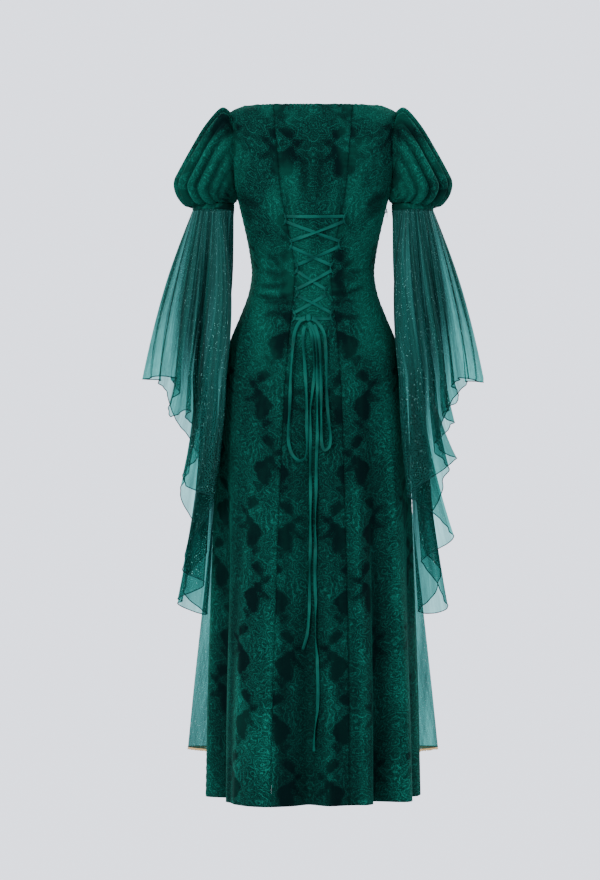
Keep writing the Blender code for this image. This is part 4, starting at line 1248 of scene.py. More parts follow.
@dataclass(frozen=True)
class SatinRibbon:
    """Narrow satin ribbon, with the fine ribs of its weave."""

    name: str = "satin_ribbon"
    colour: Colour = (0.0002, 0.0480, 0.0345)
    shadow: Colour = (0.0000, 0.0190, 0.0145)
    rib: float = 6500.0
    worn_scale: float = 160.0
    turn_shade_scale: float = 26.0

    def make(self) -> bpy.types.Material:
        """Build the material.

        Returns:
            The material, for a piece whose UV map is the way along it.
        """
        look = Dressing(self.name)
        place = look.cut_place()
        ribs = (look.part(place, 1) * self.rib).sine() * 0.5 + 0.5
        worn = look.noise(look.stretched(place, (1.0, 0.25, 1.0)), self.worn_scale, 3.0).step(0.3, 0.75)
        # Painted shade and light: the ribbon is darker in stretches, as where it turns away from the light.
        turned = look.noise(look.own_place(), self.turn_shade_scale, 1.0).step(0.34, 0.62)
        # The ribbon runs from its shadow to its lit colour with that painted shade, the worn noise and the
        # ribs.
        shade = worn * 0.3 + ribs * 0.15 + turned * 0.6
        look.feed("Base Color", look.mix(shade, self.shadow, self.colour))
        look.feed("Roughness", 0.42 + worn * 0.18)
        look.feed("Specular IOR Level", 0.03)
        look.bump(ribs * 0.6 + worn * 0.4, 0.0003, 0.5)
        return look.material


@dataclass(frozen=True)
class RolledHem:
    """The chiffon's narrow rolled hem, overlocked in darker thread."""

    name: str = "rolled_hem"
    colour: Colour = (0.0003, 0.0110, 0.0100)
    thread: Colour = (0.0006, 0.0200, 0.0180)
    stitch: float = 3900.0

    def make(self) -> bpy.types.Material:
        """Build the material.

        Returns:
            The material, for a piece whose UV map is the way along it.
        """
        look = Dressing(self.name)
        stitches = (look.part(look.cut_place(), 1) * self.stitch).sine() * 0.5 + 0.5
        look.feed("Base Color", look.mix(stitches, self.colour, self.thread))
        look.feed("Roughness", 0.75 - stitches * 0.15)
        look.feed("Specular IOR Level", 0.05)
        look.bump(stitches, 0.0002, 0.6)
        return look.material


@dataclass(frozen=True)
class GoldLace:
    """Metallic thread of the narrow lace."""

    name: str = "gold_lace_thread"
    colour: Colour = (0.50, 0.33, 0.13)
    shadow: Colour = (0.20, 0.11, 0.035)
    thread_scale: float = 900.0
    knot_scale: float = 300.0

    def make(self) -> bpy.types.Material:
        """Build the material.

        Returns:
            The material, for a piece whose UV map is its flat cut.
        """
        look = Dressing(self.name)
        place = look.cut_place()
        threads = look.noise(place, self.thread_scale, 2.0)
        knots = look.noise(place, self.knot_scale, 1.0).step(0.35, 0.7)
        shade = threads.step(0.3, 0.7) * 0.6 + knots * 0.4
        look.feed("Base Color", look.mix(shade, self.shadow, self.colour))
        look.feed("Roughness", 0.55 - knots * 0.2)
        look.feed("Metallic", knots * 0.5 + 0.3)
        look.bump(threads, 0.0005, 0.8)
        return look.material


@dataclass(frozen=True)
class LacqueredZip:
    """Zip metal lacquered to match the velvet, worn a little bare."""

    name: str = "lacquered_zip_metal"
    lacquer: Colour = (0.0030, 0.0480, 0.0360)
    bare: Colour = (0.18, 0.22, 0.20)
    worn_scale: float = 900.0
    brush_scale: float = 3000.0

    def make(self) -> bpy.types.Material:
        """Build the material.

        Returns:
            The material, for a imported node.
        """
        look = Dressing(self.name)
        place = look.own_place()
        worn = look.noise(place, self.worn_scale, 3.0).step(0.62, 0.72)
        # Brushing streaks of the metal, for roughness and bump only.
        brushing_and_highlight = look.noise(look.stretched(place, (1.0, 1.0, 0.2)), self.brush_scale, 2.0)
        look.feed("Base Color", look.mix(worn, self.lacquer, self.bare))
        look.feed("Metallic", worn * 0.4 + 0.5)
        look.feed("Roughness", brushing_and_highlight * 0.2 + 0.22)
        look.bump(brushing_and_highlight * 0.5 + worn * 0.5, 0.00005, 0.5)
        return look.material


@dataclass(frozen=True)
class Wardrobe:
    """The materials of the gown, made once."""

    velvet: bpy.types.Material
    chiffon: bpy.types.Material
    ribbon: bpy.types.Material
    hem: bpy.types.Material
    gold: bpy.types.Material
    zip: bpy.types.Material

    @classmethod
    def stocked(cls) -> "Wardrobe":
        """Make every material.

        Returns:
            The wardrobe.
        """
        return cls(
            DamaskVelvet().make(), GlitterChiffon().make(), SatinRibbon().make(),
            RolledHem().make(), GoldLace().make(), LacqueredZip().make(),
        )


# ------------------------------------------------------------------ sub-assemblies
@dataclass(frozen=True)
class Panel:
    """One velvet panel between two long edges, each on its side of the gown, with its cut size."""

    name: str
    first: Edge
    second: Edge
    first_side: int
    second_side: int
    width: float
    area: float

    def angles(self, form: GownForm, level: np.ndarray) -> tuple[np.ndarray, np.ndarray]:
        """Angles of the panel's two edges.

        Args:
            form: The velvet body's surface.
            level: Levels to read at.

        Returns:
            The first edge's angles and the second's, which are always the larger.
        """
        first = self.first_side * form.edge(self.first, level)
        second = self.second_side * form.edge(self.second, level)
        return first, second + 360.0 if self.first_side > self.second_side else second


PANELS = (
    Panel("side_back_right", Edge.BACK_ARMHOLE, Edge.BACK_SEAM, -1, -1, 0.270, 0.270),
    Panel("back_panel", Edge.BACK_SEAM, Edge.BACK_SEAM, -1, 1, 0.170, 0.180),
    Panel("side_back_left", Edge.BACK_SEAM, Edge.BACK_ARMHOLE, 1, 1, 0.270, 0.270),
    Panel("side_front_left", Edge.FRONT_ARMHOLE, Edge.FRONT_SEAM, 1, 1, 0.230, 0.230),
    Panel("front_panel", Edge.FRONT_SEAM, Edge.FRONT_SEAM, 1, -1, 0.250, 0.250),
    Panel("side_front_right", Edge.FRONT_SEAM, Edge.FRONT_ARMHOLE, -1, -1, 0.230, 0.230),
)


@dataclass
class VelvetBody:
    """The six long velvet panels, seamed side by side from neckline to hem.

    stretches holds the top, the base and the number of rows of each stretch down to the armhole's
    base, below which the rows are one cell apart.  allowance is the width of the two cells that turn
    in at each seam.  The drifts tell how far and how fast the puckers wander.  Painted light falls on
    what stands out and painted shade in what sinks in, by about shade_fold in the deep folds and
    shade_crease in the fine ones.
    """

    form: GownForm
    velvet: bpy.types.Material
    cell: float = 0.0052
    wall: float = 0.0016
    stretches: tuple = ((0.002, -0.010, 5), (-0.010, -0.034, 9), (-0.034, -0.160, 25), (-0.160, -0.184, 9))
    hem_turn: float = 1.6
    usual_radius: float = 0.2
    seam_inset: float = 0.0001
    seam_dip: float = 0.0011
    seam_half: float = 0.0028
    allowance: tuple[float, ...] = (0.0018, 0.0060)
    pucker: float = 0.0006
    pucker_length: float = 0.013
    pucker_half: float = 0.010
    pucker_drift: tuple[float, float] = (3.0, 40.0)
    neck_pucker: float = 0.0009
    neck_pucker_length: float = 0.011
    neck_pucker_drift: tuple[float, float] = (1.3, 60.0)
    neck_pucker_base: float = -0.020
    shade_crease: float = 0.0016
    shade_fold: float = 0.018
    shade_shares: tuple[float, float] = (0.26, 0.44)
    shade_most: float = 1.2

    def levels(self) -> tuple[np.ndarray, np.ndarray]:
        """Rows of a panel, from the neck's inside over its folded edge and down to the hem's inside.

        Returns:
            The rows' levels, and how far each lies behind the outer face.
        """
        top, base, hem = self.stretches[0][0], self.stretches[-1][1], -LENGTH
        face = [np.linspace(start, end, count, endpoint=False) for start, end, count in self.stretches]
        face = np.concatenate([*face, np.linspace(base, hem, int((LENGTH + base) / self.cell))])
        neck = [top - row.rise for row in FOLD_OVER]
        turn_up = [hem + row.rise * self.hem_turn for row in reversed(FOLD_OVER)]
        behind = [row.behind for row in FOLD_OVER]
        levels = np.concatenate([neck, face, turn_up])
        return levels, np.concatenate([behind, np.zeros(len(face)), behind[::-1]])

    def puckers(self, walked: np.ndarray, aside: np.ndarray, level: np.ndarray) -> np.ndarray:
        """How far the seams sink in, and the puckers beside them and along the neckline.

        Args:
            walked: Length walked across the panel.
            aside: Distance from the nearer seam.
            level: Levels.

        Returns:
            The push out of the panel's face.
        """
        shift, pace = self.pucker_drift
        ripple = np.sin(level * 2 * math.pi / self.pucker_length + shift * np.sin(level * pace))
        shift, pace = self.neck_pucker_drift
        around = walked / self.neck_pucker_length + shift * np.sin(walked * pace)
        neck = np.sin(2 * math.pi * around) * smooth(self.neck_pucker_base, 0.0, level)
        return (self.pucker * ripple * bell(aside / self.pucker_half) + self.neck_pucker * neck
                - self.seam_dip * bell(aside / self.seam_half))

    def build(self) -> None:
        """Build every panel."""
        for panel in PANELS:
            self.panel(panel)

    def panel(self, panel: Panel) -> bpy.types.Object:
        """Build one panel's shell, standing for its solid.

        Args:
            panel: The panel.

        Returns:
            The piece.
        """
        levels, behind = self.levels()
        first, second = panel.angles(self.form, levels)
        inset = np.degrees(self.seam_inset / self.form.radius((first + second) / 2, levels))
        columns = int(np.abs(np.radians(second - first)).max() * self.usual_radius / self.cell) + 2
        turned = np.array(self.allowance)
        ends = len(turned)
        share = np.concatenate([np.zeros(ends), np.linspace(0.0, 1.0, columns), np.ones(ends)])[None, :]
        seam = np.concatenate([turned[::-1], np.zeros(columns), turned])[None, :]
        beside = np.concatenate([-turned[::-1], np.zeros(columns), turned])[None, :]
        angle = (first + inset)[:, None] + (second - first - 2 * inset)[:, None] * share
        level = np.broadcast_to(levels[:, None], angle.shape)
        plain = self.form.point(angle, level)
        walked = lengths(plain, 1)
        width = walked[:, -1:]
        push = self.form.relief(angle, level)
        push = push + self.puckers(walked, np.minimum(walked, width - walked), level)
        out = push + VELVET / 2 - np.maximum(behind[:, None], seam)
        places = plain + self.form.outward(angle, level) * out[..., None]
        cut = np.stack([walked - width / 2 + beside, -lengths(plain, 0)], axis=-1)
        # Painted light on the ridges of the deep folds and fine creases, and painted shade in their
        # troughs.
        swing = folded(SKIRT_FOLDS, angle, level, -LENGTH)
        deep, fine = self.shade_shares
        shade_and_fullness = 0.5 + deep * np.tanh(swing / self.shade_fold) + fine * np.tanh(push / self.shade_crease)
        shade_and_fullness = np.clip(shade_and_fullness, 0.0, self.shade_most)
        centre = Vector((0.0, 0.0, 0.0))
        piece = cloth_object(f"{panel.name}_velvet", places, cut, shade_and_fullness, False, self.velvet, centre)
        thicken(piece, self.wall)
        shown(piece, panel.name)
        return piece


class Side(Enum):
    """The gown's two sides."""

    LEFT = 1
    RIGHT = -1

    @property
    def label(self) -> str:
        """The side's name in node names."""
        return self.name.lower()


@dataclass
class SleeveHead:
    """A gathered velvet sleeve head and the narrow band that holds its gathers.

    tucked_in and tucked_size carry the head's first ring through the armhole into the gown.
    """

    form: GownForm
    velvet: bpy.types.Material
    side: Side
    columns: int = 224
    rows: int = 72
    wall: float = 0.0014
    tucked_in: float = 0.007
    tucked_size: float = 0.985
    cut_round: float = 0.52
    cut_fall: float = 0.21
    shade_crease: float = 0.0065
    ripples: tuple[int, ...] = (43, 58, 71)
    ripple_reach: float = 0.16
    head_pucker: float = 0.0013
    band_pucker: float = 0.0016
    band_columns: int = 96
    band_rows: int = 11
    band_edge: float = 0.0006
    band_cut_round: float = 0.20

    def build(self) -> None:
        """Build the head and its band."""
        self.head()
        self.band()

    def gathers(self, turn: np.ndarray, down: np.ndarray) -> np.ndarray:
        """How far the gathers and the small puckers at both ends push the head's cloth out.

        Args:
            turn: Turns round the head.
            down: Shares of the way down.

        Returns:
            The push at each place.
        """
        push = np.zeros(np.broadcast(turn, down).shape)
        fullness = np.sin(math.pi * np.clip(down * 0.92 + 0.06, 0, 1)) ** 0.8
        for gather in GATHERS:
            where = gather.start + (gather.end - gather.start) * down
            push = push + gather.depth * fullness * bell(off_line(turn, where) / gather.half_width)
        ripple = waves(self.ripples, turn / 360.0, down)
        push = push + self.head_pucker * ripple * bell(down / self.ripple_reach)
        return push + self.band_pucker * ripple * bell((1 - down) / self.ripple_reach)

    def head(self) -> bpy.types.Object:
        """Build the puffed head, from the armhole's rim to the band.

        Returns:
            The piece.
        """
        turn = np.arange(self.columns) * 360.0 / self.columns
        rim = self.form.armhole_rim(turn)
        middle = rim.mean(axis=0)
        tucked = middle + (rim - middle) * self.tucked_size - np.array([self.tucked_in, 0.0, 0.0])
        rings = [rim]
        sine, cosine = compass(turn)
        for row in PUFF:
            middle_x, middle_z = (row.outer_x + row.inner_x) / 2, (row.outer_z + row.inner_z) / 2
            rings.append(np.stack([
                middle_x + (row.outer_x - middle_x) * cosine,
                row.half_depth * sine,
                middle_z + (row.outer_z - middle_z) * cosine,
            ], axis=-1))
        share = np.linspace(0.0, 1.0, self.rows)
        places = through(np.array(rings), share * (len(rings) - 1), False)
        out = grid_normals(places, True)
        centre = places.mean(axis=(0, 1))
        if ((places - centre) * out).sum() < 0:
            out = -out
        down = share[:, None]
        push = self.gathers(turn[None, :], down)
        fixed = smooth(0.0, 0.05, down) * smooth(0.0, 0.04, 1 - down)
        places = places + out * (push * fixed + VELVET / 2)[..., None]
        places = np.concatenate([tucked[None], places])
        places[..., 0] *= self.side.value
        fall = np.concatenate([[-self.tucked_in / self.cut_fall], share]) * self.cut_fall
        cut = flat_grid(np.arange(self.columns + 1) / self.columns * self.cut_round, -fall)
        # Painted shade in the grooves of the gathers and painted light on their ridges.
        shade_and_fullness = 0.5 + 0.5 * np.tanh(push / self.shade_crease)
        shade_and_fullness = np.concatenate([shade_and_fullness[:1], shade_and_fullness])
        name = f"puff_{self.side.label}"
        middle = Vector((centre[0] * self.side.value, centre[1], centre[2]))
        piece = cloth_object(f"{name}_velvet", places, cut, shade_and_fullness, True, self.velvet, middle)
        thicken(piece, self.wall)
        shown(piece, name)
        return piece

    def band(self) -> bpy.types.Object:
        """Build the band: a short upright tube with soft edges.

        Returns:
            The piece.
        """
        sine, cosine = compass(np.arange(self.band_columns) * 360.0 / self.band_columns)
        height = BAND_TOP - BAND_BASE
        rows = []
        for share in np.linspace(0.0, 1.0, self.band_rows):
            swell = VELVET / 2 - self.band_edge * (2 * share - 1) ** 4
            rows.append(np.stack([
                BAND_MIDDLE + (BAND_HALF_WIDTH + swell) * cosine,
                (BAND_HALF_DEPTH + swell) * sine,
                np.full(sine.shape, BAND_TOP - height * share),
            ], axis=-1))
        places = np.array(rows)
        places[..., 0] *= self.side.value
        cut = flat_grid(np.arange(self.band_columns + 1) / self.band_columns * self.band_cut_round,
                        np.linspace(0, -height, self.band_rows))
        name = f"arm_band_{self.side.label}"
        centre = Vector((BAND_MIDDLE * self.side.value, 0.0, BAND_TOP))
        # Painted shade all over the band, a little darker than the plain velvet, as under the puff's
        # overhang.
        shade_and_fullness = np.full(places.shape[:2], 0.4)
        piece = cloth_object(f"{name}_velvet", places, cut, shade_and_fullness, True, self.velvet, centre)
        thicken(piece, self.wall)
        shown(piece, name)
        return piece


@dataclass
class SheerSleeve:
    """A trailing chiffon sleeve: gathered at the band, over the forearm, then hanging in a cascade.

    pleat_depth is the small pleats' depth at the band and what it gains on the way down.
    """

    side: Side
    drape: tuple
    chiffon: bpy.types.Material
    hem: bpy.types.Material
    columns: int = 456
    rows: int = 130
    hem_radius: float = 0.0010
    area: float = 0.46
    cut_round: float = 1.15
    pleats: tuple[int, ...] = (52, 67, 83)
    pleat_depth: tuple[float, float] = (0.0012, 0.0034)
    flutes: tuple[int, ...] = (19, 27)
    flute_depth: float = 0.0115
    flute_out: tuple[float, float] = (0.205, 0.240)
    shade_waves: tuple[int, ...] = (11, 17)

    def places(self) -> tuple[np.ndarray, np.ndarray]:
        """Points of the sleeve before its small pleats.

        Returns:
            The points, rows by columns, and the share down of each row.
        """
        count = len(self.drape)
        place = np.arange(self.columns) / self.columns * count
        lines = np.array(self.drape)
        step = place.astype(int)
        following = np.append(lines[1:, 0], 360.0 + lines[0, 0])[step]
        sine, cosine = compass(lines[step, 0] + (following - lines[step, 0]) * (place - step))
        knee_out, knee_back, hem_out, hem_back, hem = through(lines[:, 1:], place, True).T
        down = np.linspace(0.0, 1.0, self.rows)[:, None]
        level = SLEEVE_TOP + (hem[None, :] - SLEEVE_TOP) * down
        fall = np.minimum((SLEEVE_TOP - level) / (SLEEVE_TOP - SLEEVE_KNEE), 1.0)
        ease = fall * (1.5 - 0.5 * fall)
        out = BAND_MIDDLE + BAND_HALF_WIDTH * cosine
        back = BAND_HALF_DEPTH * sine
        out = out + (knee_out - out) * ease
        back = back + (knee_back - back) * ease
        out = out - SLEEVE_TUCK * (1.0 - cosine) / 2 * np.sin(math.pi * fall)
        below = np.maximum(SLEEVE_KNEE - hem, 1e-6)[None, :]
        drift = np.clip((SLEEVE_KNEE - level) / below, 0.0, 1.0) ** SLEEVE_DRIFT
        drift = np.where(hem[None, :] < SLEEVE_KNEE, drift, 0.0)
        out = out + (hem_out - knee_out) * drift
        back = back + (hem_back - knee_back) * drift
        return np.stack([out, back, level], axis=-1), down

    def gathered(self, share: np.ndarray, down: np.ndarray) -> np.ndarray:
        """Gather density, most by the band and behind and least at the open hem, and painted fold shade.

        Args:
            share: Shares of the way round.
            down: Shares of the way down.

        Returns:
            The density and painted shade, for the shade_and_fullness map.
        """
        behind = smooth(0.05, 0.15, share) * (1.0 - smooth(0.88, 0.96, share))
        hanging = 1.0 - 0.80 * smooth(0.50, 0.90, down)
        dense = (0.38 + 0.62 * behind) * hanging - 0.25 * smooth(0.8, 1.0, down)
        # Bands of painted fold shade, and denser gathers next to the band.
        dense = dense + 0.24 * waves(self.shade_waves, share, down * 0.25) + 0.40 * bell(down / 0.25)
        return np.clip(dense, 0.0, 1.1)

    def build(self) -> bpy.types.Object:
        """Build the sleeve and its rolled hem.

        Returns:
            The sleeve's piece.
        """
        places, down = self.places()
        share = np.arange(self.columns)[None, :] / self.columns
        normals = grid_normals(places, True)
        normals[..., 2] *= 0.2
        first, gain = self.pleat_depth
        pleats = waves(self.pleats, share, down * 0.4) * (first + gain * smooth(0.0, 0.5, down))
        free = 0.3 + 0.7 * smooth(*self.flute_out, places[..., 0])
        flutes = waves(self.flutes, share, down * 0.3) * self.flute_depth * free * down**3
        places = places + unit(normals) * (pleats + flutes)[..., None]
        places[..., 0] *= self.side.value
        fall = lengths(places, 0).mean(axis=1)
        cut = flat_grid(np.arange(self.columns + 1) / self.columns * self.cut_round, -fall)
        name = f"sheer_sleeve_{self.side.label}"
        centre = Vector((0.23 * self.side.value, 0.02, -0.5))
        shade_and_fullness = self.gathered(share, down)
        piece = cloth_object(f"{name}_chiffon", places, cut, shade_and_fullness, True, self.chiffon, centre)
        edge = places[-1]
        across, out = turned_line(np.concatenate([edge, edge[:1]]))
        profile = round_profile(self.hem_radius, 5)
        hem = swept(f"{name}_hem", edge, across[:-1], out[:-1], profile, True, self.hem)
        shown(piece, name)
        return piece


@dataclass
class FrontOverlay:
    """The sheer overlay from the waist round the front, its rolled edges and its gold lace.

    cling_angle and edge_cling tell how far in from its open edges it lies close to the velvet, and
    how much of its swing is left there.  scallop, picot and ruffle are lengths along the lace.
    """

    form: GownForm
    chiffon: bpy.types.Material
    hem: bpy.types.Material
    gold: bpy.types.Material
    columns: int = 260
    rows: int = 170
    hem_radius: float = 0.0007
    fullness: float = 0.60
    fold_shade: float = 0.012
    edge_cling: float = 0.30
    cling_angle: float = 6.0
    beside: tuple[int, ...] = (-6, -3, 0, 3, 6)
    crinkles: tuple[int, ...] = (61, 83, 104)
    crinkle: float = 0.0010
    lace_points: int = 900
    lace_wall: float = 0.0007
    lace_gap: float = 0.0001
    scallop: float = 0.0075
    picot: float = 0.00188
    ruffle: float = 0.010
    ruffle_depth: float = 0.0009

    def point(self, angle: np.ndarray, level: np.ndarray) -> np.ndarray:
        """Points of the sheer cloth, never nearer the velvet than its ease.

        Args:
            angle: Angles.
            level: Levels.

        Returns:
            The points.
        """
        half_width, front = np.moveaxis(read(OVERLAY, level), -1, 0)
        across, along = compass(angle)
        plain = 1.0 / np.hypot(across / half_width, along / front)
        freedom = np.sqrt(np.clip((OVERLAY_TOP - level) / (OVERLAY_TOP - OVERLAY_HEM), 0.0, 1.0))
        spread = np.minimum(4.0 * freedom, 1.0)
        nearest = np.max([self.form.radius(angle + turn * spread, level) for turn in self.beside], axis=0)
        free = np.where(freedom > 0, plain + folded(OVERLAY_FOLDS, angle, level, OVERLAY_HEM), 0.0)
        close = bell(np.minimum(angle - OVERLAY_EDGE, 360.0 - OVERLAY_EDGE - angle) / self.cling_angle)
        cling = 1.0 - (1.0 - self.edge_cling) * close
        tucked = free - (free - nearest) * close
        radius = np.maximum(tucked, nearest + OVERLAY_EASE + OVERLAY_SWING * freedom * cling)
        crinkle = waves(self.crinkles, angle / (360.0 - 2 * OVERLAY_EDGE), freedom) + 1.0
        radius = radius + crinkle * self.crinkle * freedom
        return np.stack([radius * across, radius * along, level], axis=-1)

    def build(self) -> None:
        """Build the sheer cloth, its rolled edges and its lace."""
        angle = np.linspace(OVERLAY_EDGE, 360.0 - OVERLAY_EDGE, self.columns)[None, :]
        level = np.linspace(OVERLAY_TOP, OVERLAY_HEM, self.rows)[:, None]
        angle, level = np.broadcast_arrays(angle, level)
        places = self.point(angle, level)
        walked = lengths(places, 1)
        cut = np.stack([walked - walked[:, -1:] / 2, -lengths(places, 0)], axis=-1)
        # Painted shade in the troughs of the folds and painted light on their ridges, through the threads'
        # cover.
        swing = folded(OVERLAY_FOLDS, angle, level, OVERLAY_HEM)
        shade_and_fullness = self.fullness - 0.30 * np.tanh(swing / self.fold_shade)
        centre = Vector((0.0, 0.0, -0.8))
        piece = cloth_object("front_overlay_chiffon", places, cut, shade_and_fullness, False, self.chiffon, centre)
        edge = np.concatenate([places[:, 0], places[-1, 1:-1], places[::-1, -1]])
        across, out = turned_line(edge)
        profile = round_profile(self.hem_radius, 5)
        hem = swept("front_overlay_hem", edge, across, out, profile, False, self.hem)
        shown(piece, "front_overlay")
        self.lace(places[-1])

    def lace(self, hem_line: np.ndarray) -> bpy.types.Object:
        """Build the gold lace: a narrow strip below the hem with a scalloped, picoted edge.

        Args:
            hem_line: Points along the overlay's hem.

        Returns:
            The lace's piece.
        """
        line = through(hem_line, np.linspace(0.0, len(hem_line) - 1.0, self.lace_points), False)
        walked = walked_along(line)
        scallop = np.abs(np.sin(math.pi * walked / self.scallop))
        picot = 0.5 + 0.5 * np.cos(2 * math.pi * walked / self.picot)
        height = TRIM_HEIGHT * (0.62 + 0.24 * scallop + 0.14 * picot)
        rows = np.linspace(0.0, 1.0, 6)[:, None]
        drop = self.lace_gap + height[None, :] * rows
        outward = unit(line * np.array([1.0, 1.0, 0.0]))
        ruffle = self.ruffle_depth * np.sin(2 * math.pi * walked / self.ruffle)[None, :] * rows
        places = line[None] + outward[None] * ruffle[..., None]
        places[..., 2] -= drop
        cut = np.stack(np.broadcast_arrays(walked[None, :], -drop), axis=-1)
        shade_and_fullness = np.full(places.shape[:2], 0.5)
        centre = Vector((0.0, 0.0, OVERLAY_HEM))
        piece = cloth_object("gold_trim_lace", places, cut, shade_and_fullness, False, self.gold, centre)
        thicken(piece, self.lace_wall)
        shown(piece, "gold_trim")
        return piece


@dataclass(frozen=True)
class Hang:
    """A ribbon that hangs from the knot: its node, its route, the number of steps over which its
    ends come off the cloth, how far they and the rest are lifted, and what its far end is."""

    node: str
    route: tuple
    steps: int
    start_lift: float
    end_lift: float
    lift: float
    far_end: str


LOW = HANG_GAP + RIBBON / 2
OUTER, TURNED = LOW + END_LIFT, LOW + BOW_LIFT  # what the outer end and the bow loops are lifted to
ROOT = KNOT_LIFT + 0.0014  # where the bow loops come out of the knot
HANGING = (
    Hang("tie_end_left", LEFT_END_ROUTE, 20, KNOT_LIFT - 0.0024, LOW, LOW, "bare"),
    Hang("tie_end_right", RIGHT_END_ROUTE, 24, KNOT_LIFT - 0.0002, OUTER, OUTER, "bare"),
    Hang("bow_loop_left", LEFT_BOW_ROUTE, 24, ROOT, ROOT, TURNED, "object"),
    Hang("bow_loop_right", RIGHT_BOW_ROUTE, 24, ROOT, ROOT, TURNED, "object"),
)


